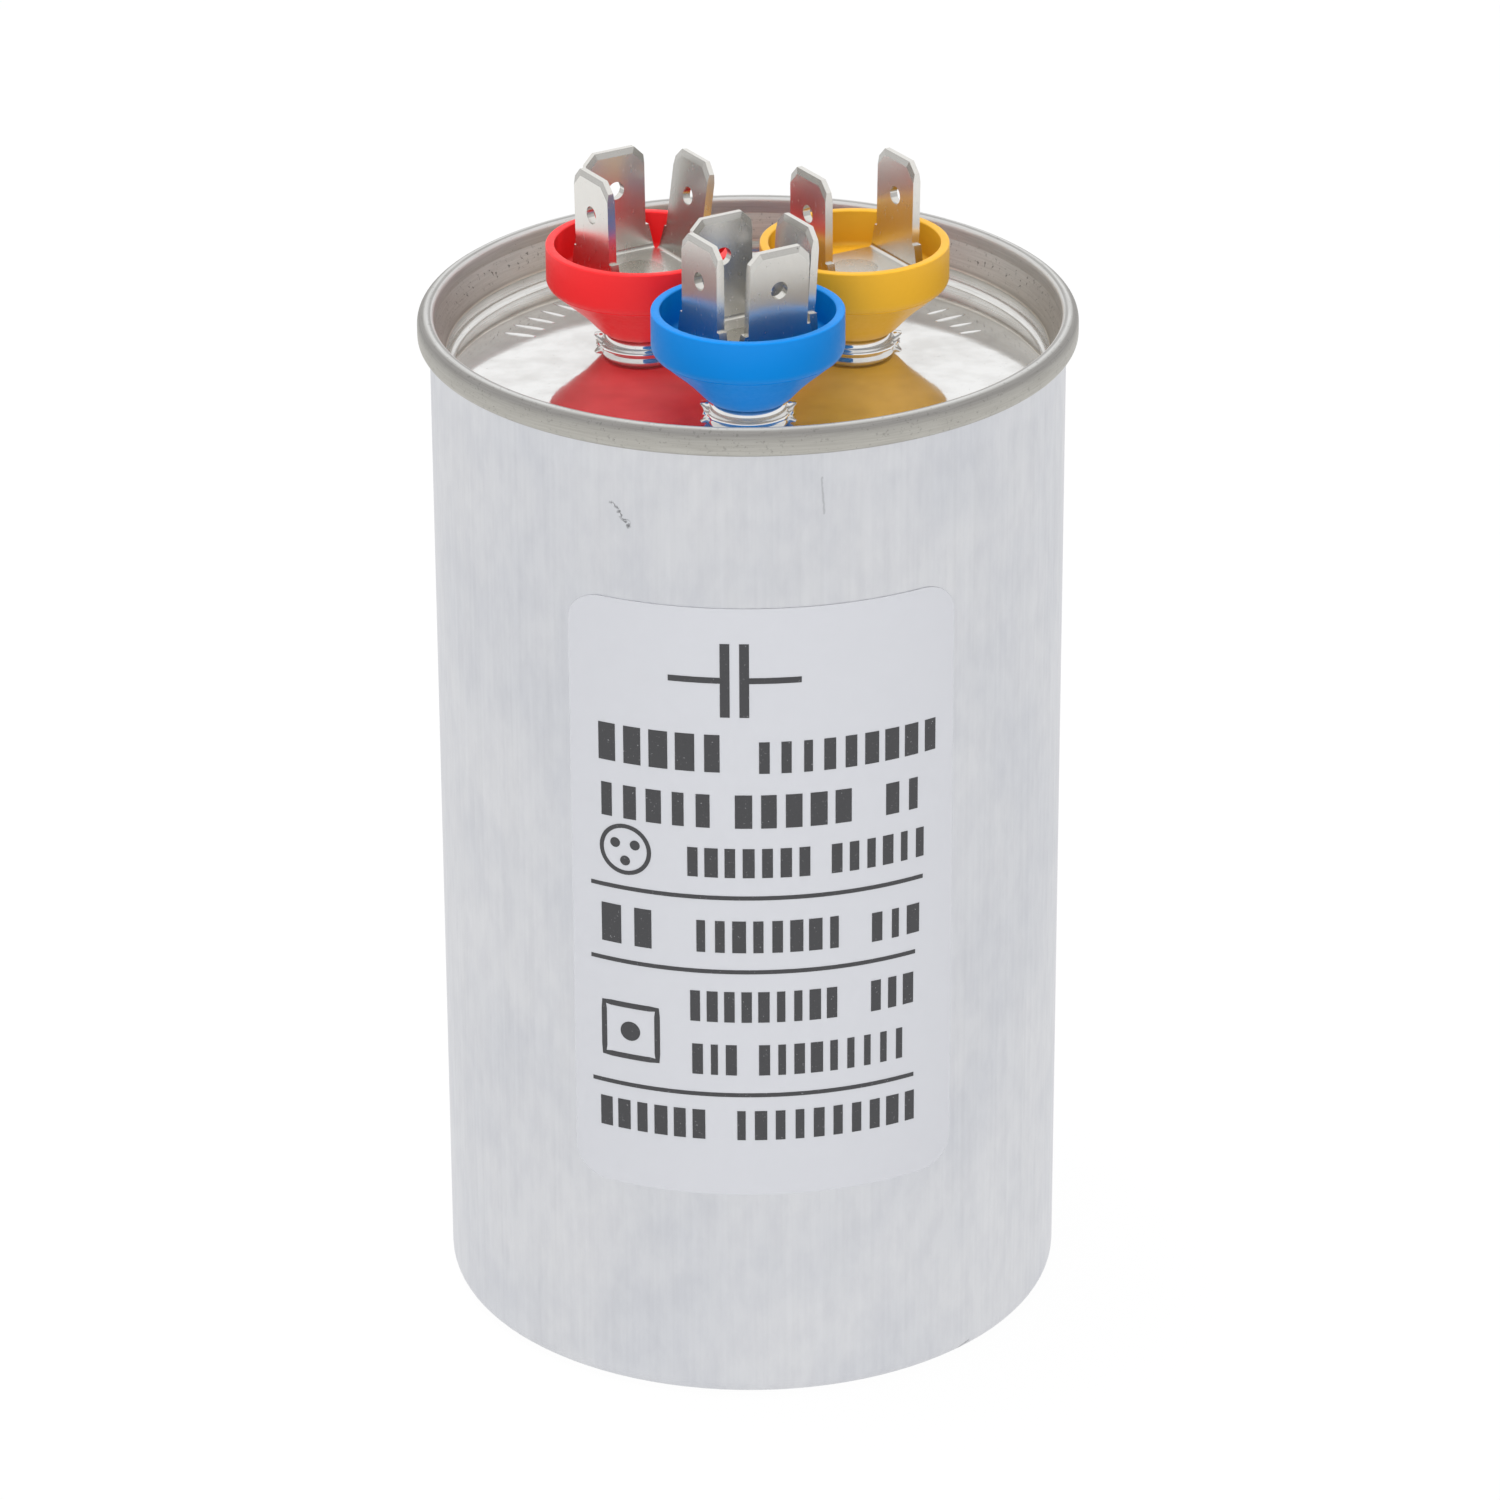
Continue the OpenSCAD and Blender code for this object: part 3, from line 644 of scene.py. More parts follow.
def keep_mesh(name: str, mesh: bmesh.types.BMesh) -> Thing:
    """Turns a drawn mesh into an object and frees it.

    Args:
        name: The object's name.
        mesh: The mesh.

    Returns:
        The object.
    """
    data = bpy.data.meshes.new(name)
    mesh.to_mesh(data)
    mesh.free()
    return place(name, data)


def hand_over(piece: Thing, finish: Material) -> None:
    """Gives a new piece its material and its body.

    Args:
        piece: The new piece, in place.
        finish: Its material.
    """
    piece.data.materials.clear()
    piece.data.materials.append(finish)
    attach(piece, BODY)
    LOG.info("%s: %d faces", piece.name, len(piece.data.polygons))


@dataclass
class Shell:
    """The modelled solids, each dressed in its own finish."""

    nodes: dict[str, Any]
    made: dict[str, Material] = field(default_factory=dict)

    def material(self, finish: Finish) -> Material:
        """Makes a finish's material once.

        Args:
            finish: The finish.

        Returns:
            Its material.
        """
        if finish.name not in self.made:
            self.made[finish.name] = finish.build()
        return self.made[finish.name]

    def dress(self) -> None:
        """Puts each node's material on it."""
        for name, node in self.nodes.items():
            material = self.material(NODE_FINISH[name])
            if not node.material_slots:
                node.data.materials.append(material)
            for slot in node.material_slots:
                slot.material = material
            LOG.info("%s: %s", name, material.name)


@dataclass
class PrintedMatter:
    """Plain marks on the label, placed along the face from its middle and up from the foot."""

    radius: float
    ink: float = 0.03
    sunk: float = 0.02
    step: float = 0.8
    parts: list[Thing] = field(default_factory=list)

    def ribbon(self, path: list[Spot], width: float, closed: bool = False) -> None:
        """Prints a line of constant width.

        Args:
            path: Points of its middle line, in millimetres.
            width: Its width.
            closed: Whether its end meets its start.
        """
        points: list[Vector] = []
        for start, end in zip(path, path[1:] + path[:1] if closed else path[1:]):
            a, b = Vector(start), Vector(end)
            pieces = max(1, math.ceil((b - a).length / self.step))
            points += [a.lerp(b, i / pieces) for i in range(pieces)]
        if not closed:
            points.append(Vector(path[-1]))
        mesh = bmesh.new()
        rows = []
        for i, point in enumerate(points):
            before = points[i - 1] if i or closed else point
            after = points[(i + 1) % len(points)] if i + 1 < len(points) or closed else point
            along = (after - before).normalized()
            side = Vector((-along.y, along.x)) * width / 2
            rows.append([
                mesh.verts.new(self.bend(point + side * s, r))
                for r in self.faces() for s in (-1, 1)])
        for a, b in zip(rows, rows[1:] + rows[:1] if closed else rows[1:]):
            for i, j in ((0, 1), (1, 3), (3, 2), (2, 0)):
                mesh.faces.new((a[i], a[j], b[j], b[i]))
        if not closed:
            for end in (rows[0], rows[-1]):
                mesh.faces.new((end[0], end[1], end[3], end[2]))
        self.keep(mesh)

    def disc(self, centre: Spot, radius: float, corners: int = 32) -> None:
        """Prints a round dot.

        Args:
            centre: Its middle, in millimetres.
            radius: Its radius.
            corners: The number of points round its edge.
        """
        mesh = bmesh.new()
        turns = [math.tau * i / corners for i in range(corners)]
        edge = [Vector(centre) + Vector(polar(radius, turn)) for turn in turns]
        rings = [[mesh.verts.new(self.bend(point, r)) for point in edge] for r in self.faces()]
        for ring in rings:
            mesh.faces.new(ring)
        for i in range(corners):
            j = (i + 1) % corners
            mesh.faces.new((rings[0][i], rings[0][j], rings[1][j], rings[1][i]))
        self.keep(mesh)

    def faces(self) -> Spot:
        """Gives the radii of the ink's outer face and of its back, sunk into the film."""
        return self.radius + self.ink, self.radius - self.sunk

    def bend(self, spot: Vector, radius: float) -> Vector:
        """Lays a flat place on the round label.

        Args:
            spot: Millimetres along the face and up.
            radius: The radius that it lies at.

        Returns:
            The point in metres.
        """
        turn = spot.x / self.radius
        return Vector((radius * math.sin(turn), -radius * math.cos(turn), spot.y)) * MM

    def keep(self, mesh: bmesh.types.BMesh) -> None:
        """Turns a mark's faces outwards and keeps it for joining."""
        bmesh.ops.recalc_face_normals(mesh, faces=mesh.faces)
        self.parts.append(keep_mesh("mark", mesh))

    def join(self, name: str) -> Thing:
        """Joins all marks into one piece.

        Args:
            name: The piece's name.

        Returns:
            The piece.
        """
        first = self.parts[0]
        with bpy.context.temp_override(active_object=first, selected_editable_objects=self.parts):
            bpy.ops.object.join()
        first.name = first.data.name = name
        return first


def new_tree(name: str, kinds: dict[str, tuple[str, ...]]) -> tuple[Tree, Any]:
    """Starts a Geometry Nodes tree.

    Args:
        name: The tree's name.
        kinds: The names of its inputs, by their kind of socket.

    Returns:
        The tree, and the sockets that give its inputs.
    """
    tree = bpy.data.node_groups.new(name, "GeometryNodeTree")
    tree.interface.new_socket("Geometry", in_out="OUTPUT", socket_type="NodeSocketGeometry")
    for kind, names in kinds.items():
        for size in names:
            tree.interface.new_socket(size, in_out="INPUT", socket_type="NodeSocket" + kind)
    return tree, add_node(tree, "NodeGroupInput").outputs


def swing(tree: Tree, radius: Source, turn: Source) -> tuple[Source, Source]:
    """Turns a radius and an angle into a place.

    Args:
        tree: The tree.
        radius: The distance from the axis.
        turn: The angle.

    Returns:
        The radius by the angle's cosine, and by its sine.
    """
    waves = [add_node(tree, MATH, {0: turn}, wave) for wave in ("COSINE", "SINE")]
    across, deep = [add_node(tree, MATH, {0: radius, 1: wave}, "MULTIPLY") for wave in waves]
    return across, deep


def end_tree(tree: Tree, geometry: Source, material: Source) -> None:
    """Gives a tree's geometry its material and ends the tree.

    Args:
        tree: The tree.
        geometry: Its geometry.
        material: The geometry's material.
    """
    coated = add_node(tree, "GeometryNodeSetMaterial", {"Geometry": geometry, "Material": material})
    add_node(tree, "NodeGroupOutput", {"Geometry": coated})


def block_row_tree() -> Tree:
    """Makes the tree that prints a row of plain blocks on the round label.

    Returns:
        The Geometry Nodes tree, with its sizes as named inputs.
    """
    tree, group = new_tree("block_row", {
        "Float": ("Start", "Base", "Height", "Pitch", "Narrow", "Wide", "Radius", "Ink"),
        "Int": ("Count", "Seed"), "Material": ("Material",)})
    middle = add_node(tree, MATH, {0: group["Height"], 1: 0.5, 2: group["Base"]}, "MULTIPLY_ADD")
    start = add_node(tree, JOIN, {"X": group["Start"], "Z": middle})
    step = add_node(tree, JOIN, {"X": group["Pitch"]})
    line = add_node(
        tree, "GeometryNodeMeshLine",
        {"Count": group["Count"], "Start Location": start, "Offset": step})
    block = add_node(tree, "GeometryNodeMeshCube", {"Vertices X": 4})
    width = add_node(
        tree, RANDOM,
        {2: group["Narrow"], 3: group["Wide"], "Seed": group["Seed"]}, data_type="FLOAT")
    size = add_node(tree, JOIN, {"X": width, "Y": group["Ink"], "Z": group["Height"]})
    blocks = add_node(
        tree, "GeometryNodeInstanceOnPoints", {"Points": line, "Instance": block, "Scale": size})
    real = add_node(tree, "GeometryNodeRealizeInstances", {0: blocks})
    at = add_node(tree, SPLIT, {0: add_node(tree, "GeometryNodeInputPosition")}).outputs
    turn = add_node(tree, MATH, {0: at["X"], 1: group["Radius"]}, "DIVIDE")
    reach = add_node(tree, MATH, {0: group["Radius"], 1: at["Y"]}, "SUBTRACT")
    near, right = swing(tree, reach, turn)
    front = add_node(tree, MATH, {0: near, 1: -1.0}, "MULTIPLY")
    bent = add_node(tree, JOIN, {"X": right, "Y": front, "Z": at["Z"]})
    laid = add_node(tree, "GeometryNodeSetPosition", {"Geometry": real, "Position": bent})
    end_tree(tree, laid, group["Material"])
    return tree


def tick_arc_tree() -> Tree:
    """Makes the tree that presses soft strokes along an arc of a level panel.

    Returns:
        The Geometry Nodes tree, with its sizes as named inputs.
    """
    tree, group = new_tree("tick_arc", {
        "Int": ("Count", "Seed"), "Material": ("Material",),
        "Float": ("Radius", "First", "Step", "Level", "Length", "Width", "Rise", "Slant", "Least")})
    line = add_node(tree, "GeometryNodeMeshLine", {"Count": group["Count"]})
    bearing = add_node(
        tree, MATH,
        {0: add_node(tree, "GeometryNodeInputIndex"), 1: group["Step"], 2: group["First"]},
        "MULTIPLY_ADD")
    across, deep = swing(tree, group["Radius"], bearing)
    spot = add_node(tree, JOIN, {"X": across, "Y": deep, "Z": group["Level"]})
    spread = add_node(tree, "GeometryNodeSetPosition", {"Geometry": line, "Position": spot})
    tick = add_node(tree, "GeometryNodeMeshUVSphere", {"Segments": 20, "Rings": 12})
    size = add_node(tree, JOIN, {"X": group["Length"], "Y": group["Width"], "Z": group["Rise"]})
    half = add_node(tree, VECTOR, {0: size, 1: (0.5, 0.5, 1.0)}, "MULTIPLY")
    share = add_node(
        tree, RANDOM, {2: group["Least"], 3: 1.0, "Seed": group["Seed"]}, data_type="FLOAT")
    varied = add_node(tree, VECTOR, {0: half, "Scale": share}, "SCALE")
    leaned = add_node(tree, MATH, {0: group["Slant"], 1: -1.0}, "MULTIPLY")
    slant = add_node(
        tree, RANDOM, {2: leaned, 3: group["Slant"], "Seed": group["Seed"]}, data_type="FLOAT")
    aim = add_node(tree, MATH, {0: bearing, 1: slant}, "ADD")
    heading = add_node(tree, JOIN, {"Z": aim})
    turned = add_node(tree, "FunctionNodeEulerToRotation", {0: heading})
    ticks = add_node(
        tree, "GeometryNodeInstanceOnPoints",
        {"Points": spread, "Instance": tick, "Rotation": turned, "Scale": varied})
    real = add_node(tree, "GeometryNodeRealizeInstances", {0: ticks})
    smooth = add_node(tree, "GeometryNodeSetShadeSmooth", {"Geometry": real})
    end_tree(tree, smooth, group["Material"])
    return tree


def grow(name: str, tree: Tree, lengths: dict[str, float], others: dict[str, Any]) -> Thing:
    """Runs a Geometry Nodes tree and keeps its result as a plain mesh.

    Args:
        name: The new piece's name.
        tree: The tree.
        lengths: Values in millimetres for the tree's named inputs.
        others: Values for the rest of its inputs.

    Returns:
        The piece.
    """
    holder = place("holder", bpy.data.meshes.new("holder"))
    modifier = holder.modifiers.new("grow", "NODES")
    modifier.node_group = tree
    values = {**others, **{key: length * MM for key, length in lengths.items()}}
    for item in tree.interface.items_tree:
        if item.in_out == "INPUT":
            modifier[item.identifier] = values[item.name]
    holder.update_tag()
    graph = bpy.context.evaluated_depsgraph_get()
    graph.update()
    data = bpy.data.meshes.new_from_object(holder.evaluated_get(graph))
    data.name = name
    bpy.data.objects.remove(holder)
    return place(name, data)


@dataclass
class Label(PrintedMatter):
    """The print on the wrap label: plain blocks in place of words, rules, and simple signs."""

    bold: float = 0.9
    rule: float = 0.42
    # Width of a block as a share of its pitch, from the narrowest to the widest
    narrow: float = 0.38
    wide: float = 0.72
    # Start and end along the face, and height, of each rule
    rules: tuple[tuple[float, float, float], ...] = (
        (-15.6, 17.0, 53.6), (-15.7, 16.2, 45.9), (-15.7, 16.1, 32.9))
    # Start along the face, base height, letter height, pitch and count of each run of blocks
    words: tuple[tuple[float, float, float, float, int], ...] = (
        (-15.0, 66.5, 3.8, 2.55, 5), (0.3, 66.4, 3.2, 2.05, 9),
        (-15.0, 60.8, 3.4, 2.35, 5), (-1.8, 60.8, 3.4, 2.35, 5), (12.6, 60.8, 3.2, 2.2, 2),
        (-6.3, 55.7, 3.0, 1.75, 7), (7.3, 55.7, 3.0, 1.7, 6),
        (-15.1, 47.7, 4.0, 3.2, 2), (-5.6, 47.9, 3.3, 1.8, 8), (11.2, 47.9, 3.0, 1.9, 3),
        (-6.1, 40.6, 3.2, 1.62, 9), (11.2, 40.6, 3.2, 1.7, 3),
        (-5.9, 35.0, 3.2, 1.6, 3), (0.4, 35.0, 3.2, 1.66, 9),
        (-15.2, 28.1, 3.1, 1.85, 6), (-1.9, 28.1, 3.1, 1.85, 10))

    def build(self, finish: Material) -> None:
        """Prints the label.

        Args:
            finish: The ink's material.
        """
        for start, end, height in self.rules:
            self.ribbon([(start, height), (end, height)], self.rule)
        self.plates()
        self.layout()
        self.window()
        tree = block_row_tree()
        for seed, (start, base, height, pitch, count) in enumerate(self.words):
            lengths = {
                "Start": start + pitch / 2, "Base": base, "Height": height, "Pitch": pitch,
                "Narrow": pitch * self.narrow, "Wide": pitch * self.wide, "Radius": self.radius,
                "Ink": 2 * self.ink}
            others = {"Count": count, "Seed": seed, "Material": finish}
            self.parts.append(grow("row", tree, lengths, others))
        hand_over(self.join("label_print"), finish)

    def plates(self) -> None:
        """Prints the circuit sign of a capacitor: two plates and two leads."""
        middle, height, reach, gap, tall, lead = -1.4, 75.8, 6.2, 0.9, 3.7, self.rule * 1.4
        for side in (-1, 1):
            plate = middle + side * gap
            self.ribbon([(plate, height - tall), (plate, height + tall)], self.bold)
            self.ribbon([(plate, height), (middle + side * reach, height)], lead)

    def layout(self) -> None:
        """Prints a ring with three dots, as the terminals stand on the lid."""
        middle, height, outer, inner, dot, corners = -12.0, 57.6, 2.4, 1.15, 0.5, 40
        ring = [polar(outer, math.tau * i / corners) for i in range(corners)]
        self.ribbon([(middle + x, height + y) for x, y in ring], self.rule, closed=True)
        for bearing in sorted(BEARINGS.values()):
            x, y = polar(inner, math.radians(bearing))
            self.disc((middle + x, height + y), dot)

    def window(self) -> None:
        """Prints a plain square frame with a dot."""
        middle, height, half, dot, line = -11.7, 38.6, 2.7, 1.0, self.rule * 1.3
        corners = ((-half, -half), (half, -half), (half, half), (-half, half))
        self.ribbon([(middle + x, height + y) for x, y in corners], line, closed=True)
        self.disc((middle, height), dot)


@dataclass
class Turned:
    """A form made round an axis from a section. Sizes are in millimetres."""

    around: int = 256
    # Angle in degrees past which an edge stays sharp
    crisp: float = 35.0
    mesh: bmesh.types.BMesh = field(default_factory=bmesh.new)

    def arc(
        self, centre: Spot, radius: float, start: float, end: float, steps: int,
    ) -> list[Vector]:
        """Lists points of an arc in the section.

        Args:
            centre: Its centre, as a radius and a height.
            radius: Its radius.
            start: Its first angle, in degrees.
            end: Its last angle.
            steps: The number of steps.

        Returns:
            The points, both ends included.
        """
        turns = [math.radians(start + (end - start) * i / steps) for i in range(steps + 1)]
        return [Vector(centre) + radius * Vector(polar(1.0, turn)) for turn in turns]

    def rings(self, columns: list[list[Vector]], centre: Spot) -> list[Ring]:
        """Adds rows of points round an axis.

        Args:
            columns: For each angle, the section's points there.
            centre: The axis, in millimetres.

        Returns:
            The points, by row and then by angle.
        """
        turns = [polar(1.0, math.tau * i / len(columns)) for i in range(len(columns))]
        rows = [
            [self.mesh.verts.new(Vector((centre[0] + p.x * x, centre[1] + p.x * y, p.y)) * MM)
             for p, (x, y) in zip(row, turns)]
            for row in zip(*columns)]
        for near, far in zip(rows, rows[1:]):
            self.bridge(near, far)
        return rows

    def bridge(self, near: Ring, far: Ring) -> None:
        """Joins two rings of points with faces."""
        for i, j in zip(range(len(near)), [*range(1, len(near)), 0]):
            self.mesh.faces.new((near[i], near[j], far[j], far[i]))

    def finish(self, name: str, node: str, slot: str, material: Material) -> None:
        """Shades the closed mesh and hands it over in a node's place.

        Args:
            name: The piece's name.
            node: The node that it stands for.
            slot: Its material slot; not used.
            material: Its material.
        """
        bmesh.ops.recalc_face_normals(self.mesh, faces=self.mesh.faces)
        for edge in self.mesh.edges:
            edge.smooth = edge.calc_face_angle(0.0) < math.radians(self.crisp)
        for face in self.mesh.faces:
            face.smooth = True
        piece = keep_mesh(name, self.mesh)
        hand_over(piece, material)
        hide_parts(node)


@dataclass
class Cup(Turned):
    """An insulating cup: floor, wall, rim, band, crease, funnel and the spigot through the lid."""

    side: str = "red"
    around: int = 160
    rim_r: float = 9.0
    rim_z: float = 105.2
    rim_round: float = 0.15
    wall: float = 0.85
    floor_z: float = 101.7
    floor_r: float = 0.5
    band_z: float = 101.1
    # Radius under the band, how far it turns in degrees, and the turn that its centre allows for
    foot_round: float = 1.0
    foot_sweep: float = 40.0
    foot_turn: float = 45.0
    # Steps of the crease under the band, inwards and down
    crease: tuple[Spot, ...] = ((0.16, 0.04), (0.15, 0.16))
    funnel: tuple[Spot, ...] = (
        (8.28, 100.75), (7.4, 99.95), (6.35, 99.05), (5.5, 98.25), (4.9, 97.6), (4.45, 97.1),
        (4.05, 96.7), (3.65, 96.4))
    spigot_r: float = 2.6
    spigot_z: float = 93.52
    bore_r: float = 1.55

    def section(self) -> list[Vector]:
        """Lists the cup's closed section.

        Returns:
            Its points, as distances from the cup's axis and heights.
        """
        inner, curl, foot = self.rim_r - self.wall, self.rim_round, self.foot_round
        sweep = math.radians(self.foot_sweep)
        foot_z = self.band_z + foot * math.sin(math.radians(self.foot_turn))
        edge_r = self.rim_r - foot * (1 - math.cos(sweep))
        edge_z = foot_z - foot * math.sin(sweep)
        low = [(edge_r - back, edge_z - down) for back, down in self.crease] + [
            *self.funnel, (self.spigot_r, self.funnel[-1][1]), (self.spigot_r, self.spigot_z),
            (self.bore_r, self.spigot_z)]
        return (
            [Vector((self.bore_r, self.floor_z))]
            + self.arc((inner - self.floor_r, self.floor_z + self.floor_r), self.floor_r, -90, 0, 6)
            + self.arc((inner + curl, self.rim_z - curl), curl, 180, 90, 5)
            + self.arc((self.rim_r - curl, self.rim_z - curl), curl, 90, 0, 5)
            + self.arc((self.rim_r - foot, foot_z), foot, 0, -self.foot_sweep, 8)
            + [Vector(point) for point in low])

    def build(self, material: Material) -> None:
        """Moulds the cup.

        Args:
            material: The cup's material.
        """
        centre = polar(PITCH_R, math.radians(BEARINGS[self.side]))
        rows = self.rings([self.section()] * self.around, centre)
        self.bridge(rows[-1], rows[0])
        side = self.side
        self.finish(f"{side}_cup_moulding", f"{side}_cup", f"{side}_plastic", material)


@dataclass
class PressedLid(Turned):
    """The lid: one tinplate sheet, pressed into three bosses and rolled over the can's edge."""

    tin: float = 0.28
    panel_r: float = 27.82
    fillet_r: float = 0.8
    # Chuck wall over the bead and up its taper, as radii and heights
    chuck: tuple[Spot, ...] = (
        (28.62, 96.45), (28.52, 96.675), (28.47, 96.75), (28.53, 96.95), (29.57, 99.2),
        (29.6, 99.3))
    corner_r: float = 0.45
    shoulder_r: float = 1.0
    top_z: float = 100.85
    seam_r: float = 31.139
    seam_z: float = 98.3
    turn_r: float = 0.53
    hook_z: float = 99.52
    hole_r: float = 2.65
    boss_r: float = 3.8
    boss_h: float = 1.4
    boss_round: float = 0.9
    boss_toe: float = 0.3
    # Flat margins of the panel inside its fillet and round a boss
    rim_flat: float = 0.4
    toe_flat: float = 0.6
    # An ear's reach and height, its lip, the hollow behind it, and its sides in degrees
    ear_r: float = 4.5
    ear_h: float = 1.0
    ear_lip: float = 0.12
    ear_root: float = 0.3
    ear_hollow: float = 0.1
    ear_half: float = 4.0
    ear_fade: float = 10.0
    patch_r: float = 6.4
    patch_around: int = 144
    patch_rows: int = 44

    def rolled_path(self) -> list[Vector]:
        """Lists the section from the panel's flat up the chuck wall, over the seam to the hook.

        Returns:
            Points of the outer face, as radii and heights.
        """
        corner, shoulder, turn = self.corner_r, self.shoulder_r, self.turn_r
        return (
            [Vector((self.panel_r - self.rim_flat, PANEL_Z))]
            + self.arc((self.panel_r, PANEL_Z + self.fillet_r), self.fillet_r, -90, 0, 12)
            + [Vector(point) for point in self.chuck]
            + self.arc((self.chuck[-1][0] + corner, self.top_z - corner), corner, 180, 90, 10)
            + self.arc((self.seam_r - shoulder, self.top_z - shoulder), shoulder, 90, 0, 12)
            + self.arc((self.seam_r - turn, self.seam_z + turn), turn, 0, -180, 16)
            + [Vector((self.seam_r - 2 * turn, self.hook_z))])

    def sunk(self, path: list[Vector]) -> list[Vector]:
        """Offsets a path through the sheet's thickness, to the right of its run.

        Args:
            path: Points of the outer face.

        Returns:
            A point of the inner face for each.
        """
        inner = []
        for i, point in enumerate(path):
            before = (point - path[i - 1]) if i else (path[1] - point)
            after = (path[i + 1] - point) if i + 1 < len(path) else before
            sides = [Vector((run.y, -run.x)).normalized() for run in (before, after)]
            middle = (sides[0] + sides[1]).normalized()
            inner.append(point + middle * self.tin / middle.dot(sides[0]))
        return inner

    def even(self, path: list[Vector]) -> list[Vector]:
        """Spaces a path's points evenly.

        Args:
            path: Any points.

        Returns:
            As many points as a patch has rows.
        """
        gaps = [(b - a).length for a, b in zip(path, path[1:])]
        whole, points, step, gone = sum(gaps), [], 0, 0.0
        for i in range(self.patch_rows):
            goal = whole * i / (self.patch_rows - 1)
            while step < len(gaps) - 1 and gone + gaps[step] < goal:
                gone += gaps[step]
                step += 1
            points.append(path[step].lerp(path[step + 1], min(1.0, (goal - gone) / gaps[step])))
        return points

    def boss_paths(self) -> tuple[list[Vector], list[Vector]]:
        """Lists a boss's section where it is round, and where an ear stands out.

        Returns:
            Both sections, as distances from the boss's axis and heights, with as many points.
        """
        top, shelf = PANEL_Z + self.boss_h, PANEL_Z + self.ear_h
        curl, toe, lip, hollow = self.boss_round, self.boss_toe, self.ear_lip, self.ear_hollow
        start = [Vector((self.hole_r, top))]
        crown = self.arc((self.boss_r - curl, top - curl), curl, 90, 0, 10)
        ends = (self.boss_r + toe + self.toe_flat, self.patch_r)
        flat = [Vector((end, PANEL_Z)) for end in ends]
        plain = (
            start + crown
            + self.arc((self.boss_r + toe, PANEL_Z + toe), toe, 180, 270, 8) + flat)
        ear = (
            start + crown[:7]
            + self.arc((self.boss_r + self.ear_root, shelf + hollow), hollow, 220, 270, 4)
            + self.arc((self.ear_r - lip, shelf - lip), lip, 90, -80, 10)
            + self.arc((self.boss_r + 2 * toe, PANEL_Z + toe), toe, 170, 270, 8) + flat)
        return self.even(plain), self.even(ear)

    def ear_share(self, turn: float) -> float:
        """Says how far an ear shows at an angle round the boss.

        Args:
            turn: The angle, in radians.

        Returns:
            1 on an ear, 0 between the ears.
        """
        off = math.degrees(math.asin(min(1.0, abs(math.sin(turn)))))
        part = min(1.0, max(0.0, (self.ear_fade - off) / (self.ear_fade - self.ear_half)))
        return part * part * (3 - 2 * part)

    def build(self, tin: Material) -> None:
        """Presses the lid.

        Args:
            tin: The lid's material.
        """
        path = self.rolled_path()
        rolled = [self.rings([side] * self.around, (0.0, 0.0)) for side in (path, self.sunk(path))]
        self.bridge(rolled[0][-1], rolled[1][-1])
        edges = [[rolled[0][0]], [rolled[1][0]]]
        plain, ear = self.boss_paths()
        count = self.patch_around
        shares = [self.ear_share(math.tau * i / count) for i in range(count)]
        columns = [[a.lerp(b, share) for a, b in zip(plain, ear)] for share in shares]
        for bearing in sorted(BEARINGS.values()):
            centre = polar(PITCH_R, math.radians(bearing))
            upper = self.rings(columns, centre)
            lower = self.rings([self.sunk(column) for column in columns], centre)
            self.bridge(upper[0], lower[0])
            edges[0].append(upper[-1])
            edges[1].append(lower[-1])
        for loops in edges:
            rims = [self.mesh.edges.get((a, b))
                    for loop in loops for a, b in zip(loop, loop[1:] + loop[:1])]
            bmesh.ops.triangle_fill(self.mesh, use_beauty=True, edges=rims)
        self.finish("pressed_lid", "lid", "lid_tinplate", tin)


@dataclass
class LidMarks:
    """Soft uneven strokes pressed into the lid's panel near its edge, beside the cups."""

    length: float = 3.6
    width: float = 0.75
    rise: float = 0.14
    # Greatest slant of a stroke in degrees, and the shortest stroke as a share of the longest
    slant: float = 2.0
    least: float = 0.55
    # Radius, first bearing, step between strokes, their number and their seed
    arcs: tuple[tuple[float, float, float, int, int], ...] = (
        (23.2, 139.0, 5.2, 5, 3), (22.8, 21.0, 5.2, 4, 8))

    def build(self, tin: Material) -> None:
        """Presses the strokes.

        Args:
            tin: The lid's material.
        """
        tree = tick_arc_tree()
        for name, (radius, first, step, count, seed) in zip(("left", "right"), self.arcs):
            lengths = {
                "Radius": radius, "Level": PANEL_Z, "Length": self.length, "Width": self.width,
                "Rise": self.rise}
            marks = grow(f"lid_marks_{name}", tree, lengths, {
                "Count": count, "Seed": seed, "Material": tin, "Least": self.least,
                "First": math.radians(first), "Step": math.radians(step),
                "Slant": math.radians(self.slant)})
            hand_over(marks, tin)


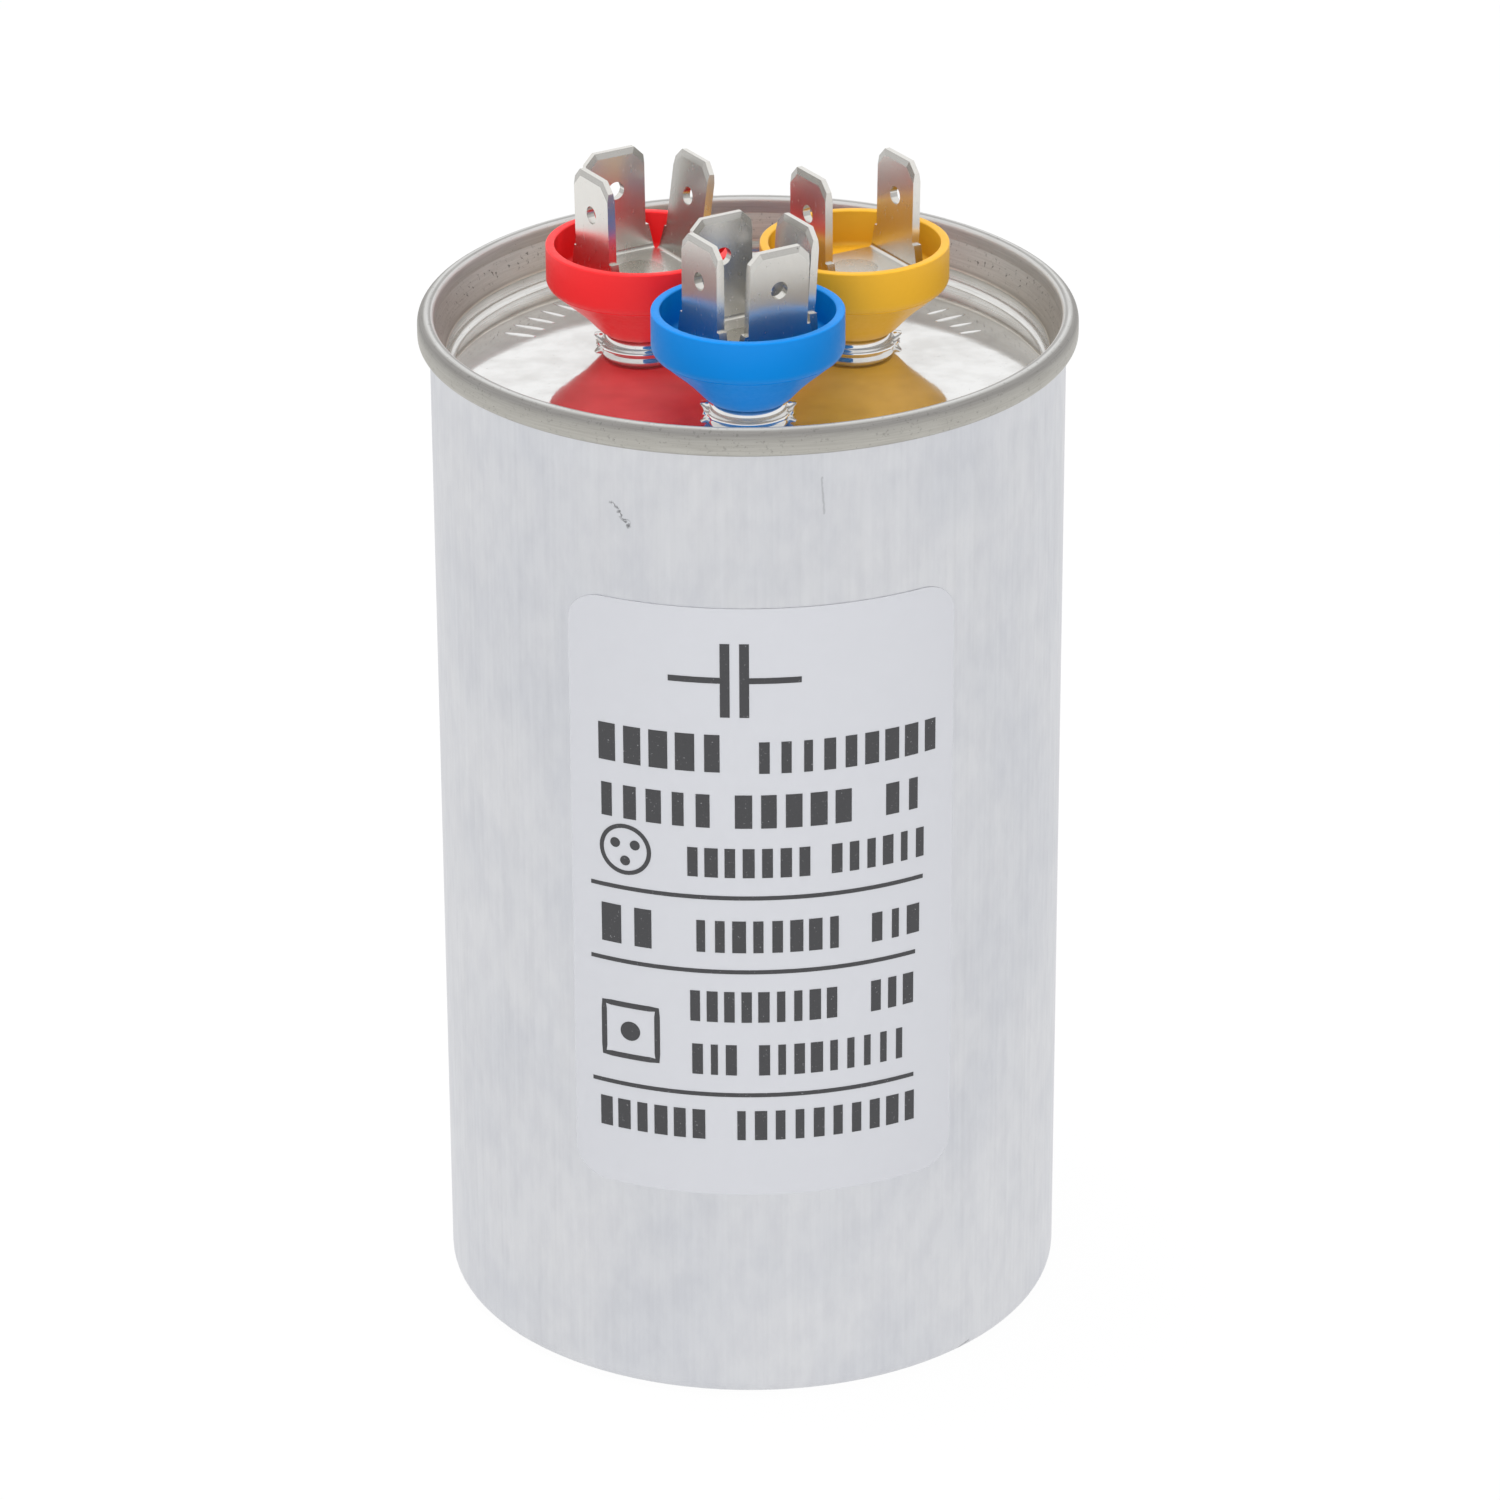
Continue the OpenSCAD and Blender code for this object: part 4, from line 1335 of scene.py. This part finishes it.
@dataclass
class Studio:
    """A pale floor, a white surround, soft lamps and the camera. Its sizes are in metres."""

    distance: float = 0.5866998
    height: float = 0.3286504
    pitch: float = 0.4367
    roll: float = -0.0049
    lens: float = 160.1497
    sensor: float = 36.0
    clip: Spot = (0.01, 50.0)
    floor_half: float = 4.0
    # How far the floor looks white, and the strength of the surround's light
    floor_glow: float = 0.97
    daylight: float = 0.72
    target: Point = (0.0, 0.0, 0.06)
    # Place, diameter and power in watts of each lamp
    lamps: tuple[tuple[str, Point, float, float], ...] = (
        ("front", (-0.35, -1.3, 0.42), 1.0, 8.0), ("side", (1.1, -0.7, 0.5), 0.8, 4.0),
        ("top", (-0.2, 0.1, 1.3), 0.8, 13.0))
    # Light that the bright panel throws up at the cups
    bounces: tuple[tuple[str, Point, float, float], ...] = (
        ("lid_bounce", (0.0, 0.0, 0.0954), 0.05, 0.0028),
        ("lid_near_bounce", (0.0, -0.0205, 0.0954), 0.013, 0.0009))

    def white_rays(self, tree: Tree) -> Source:
        """Finds the rays that see plain white: from the camera, off a gloss or through glass.

        Args:
            tree: The tree of the world or of a material.

        Returns:
            1 for such a ray, 0 for the rest.
        """
        ray = add_node(tree, "ShaderNodeLightPath").outputs
        seen = add_node(tree, MATH, {0: ray["Is Camera Ray"], 1: ray["Is Glossy Ray"]}, "MAXIMUM")
        return add_node(tree, MATH, {0: seen, 1: ray["Is Transmission Ray"]}, "MAXIMUM")

    def surround(self) -> None:
        """Makes the world: white to the camera and in reflections, softer as light."""
        world = bpy.data.worlds.new("white_surround")
        bpy.context.scene.world = world
        world.use_nodes = True
        tree = world.node_tree
        tree.nodes.clear()
        light = add_node(
            tree, "ShaderNodeBackground", {"Color": linear("#fbfcff"), "Strength": self.daylight})
        white = add_node(
            tree, "ShaderNodeBackground", {"Color": linear("#ffffff"), "Strength": 1.0})
        mix = add_node(tree, "ShaderNodeMixShader", {0: self.white_rays(tree), 1: light, 2: white})
        add_node(tree, "ShaderNodeOutputWorld", {"Surface": mix})

    def floor(self) -> None:
        """Lays the pale floor, which keeps a soft shadow."""
        mesh = bmesh.new()
        half = self.floor_half
        corners = [(-half, -half, 0), (half, -half, 0), (half, half, 0), (-half, half, 0)]
        mesh.faces.new([mesh.verts.new(corner) for corner in corners])
        floor = keep_mesh("floor", mesh)
        material = bpy.data.materials.new("pale_floor")
        material.use_nodes = True
        tree = material.node_tree
        tree.nodes.clear()
        share = add_node(tree, MATH, {0: self.white_rays(tree), 1: self.floor_glow}, "MULTIPLY")
        matt = add_node(tree, "ShaderNodeBsdfDiffuse", {"Color": linear("#f6f6f6")})
        glow = add_node(tree, "ShaderNodeEmission", {"Color": linear("#ffffff"), "Strength": 1.0})
        mix = add_node(tree, "ShaderNodeMixShader", {0: share, 1: matt, 2: glow})
        add_node(tree, "ShaderNodeOutputMaterial", {"Surface": mix})
        floor.data.materials.append(material)

    def lamp(self, name: str, spot: Point, size: float, power: float, aim: Vector) -> None:
        """Hangs a soft round lamp.

        Args:
            name: The lamp's name.
            spot: Where it hangs.
            size: Its diameter.
            power: Its power, in watts.
            aim: The way that it shines.
        """
        data = bpy.data.lights.new(name, "AREA")
        data.shape = "DISK"
        data.size = size
        data.energy = power
        lamp = place(name, data)
        lamp.location = spot
        lamp.rotation_euler = aim.to_track_quat("-Z", "Y").to_euler()
        lamp.visible_glossy = lamp.visible_camera = False

    def camera(self) -> None:
        """Sets the camera, a little above the lid and in front of the can."""
        data = bpy.data.cameras.new("camera")
        data.lens = self.lens
        data.sensor_width = self.sensor
        data.clip_start, data.clip_end = self.clip
        camera = place("camera", data)
        tilt = Matrix.Rotation(math.pi / 2 - self.pitch, 4, "X")
        turn = Matrix.Rotation(self.roll, 4, "Z")
        camera.matrix_world = Matrix.Translation((0, -self.distance, self.height)) @ tilt @ turn
        bpy.context.scene.camera = camera

    def build(self) -> None:
        """Sets up the whole studio."""
        bpy.context.scene.view_settings.view_transform = "Standard"
        self.surround()
        self.floor()
        for name, spot, size, power in self.lamps:
            self.lamp(name, spot, size, power, Vector(self.target) - Vector(spot))
        for name, spot, size, power in self.bounces:
            self.lamp(name, spot, size, power, Vector((0, 0, 1)))
        self.camera()


def main() -> None:
    """Dresses the solids, adds the print and the pressing, and sets the studio."""
    logging.basicConfig(level=logging.INFO, format="%(name)s %(message)s")
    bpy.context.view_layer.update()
    shell = Shell(frame["nodes"])
    shell.dress()
    label_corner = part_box("label")[0]
    Label(radius=-label_corner[1] / MM).build(shell.material(INK))
    PressedLid().build(shell.material(LID))
    for side in BEARINGS:
        Cup(side=side).build(shell.material(NODE_FINISH[f"{side}_cup"]))
    LidMarks().build(shell.material(LID))
    Studio().build()


if __name__ == "__main__":
    main()
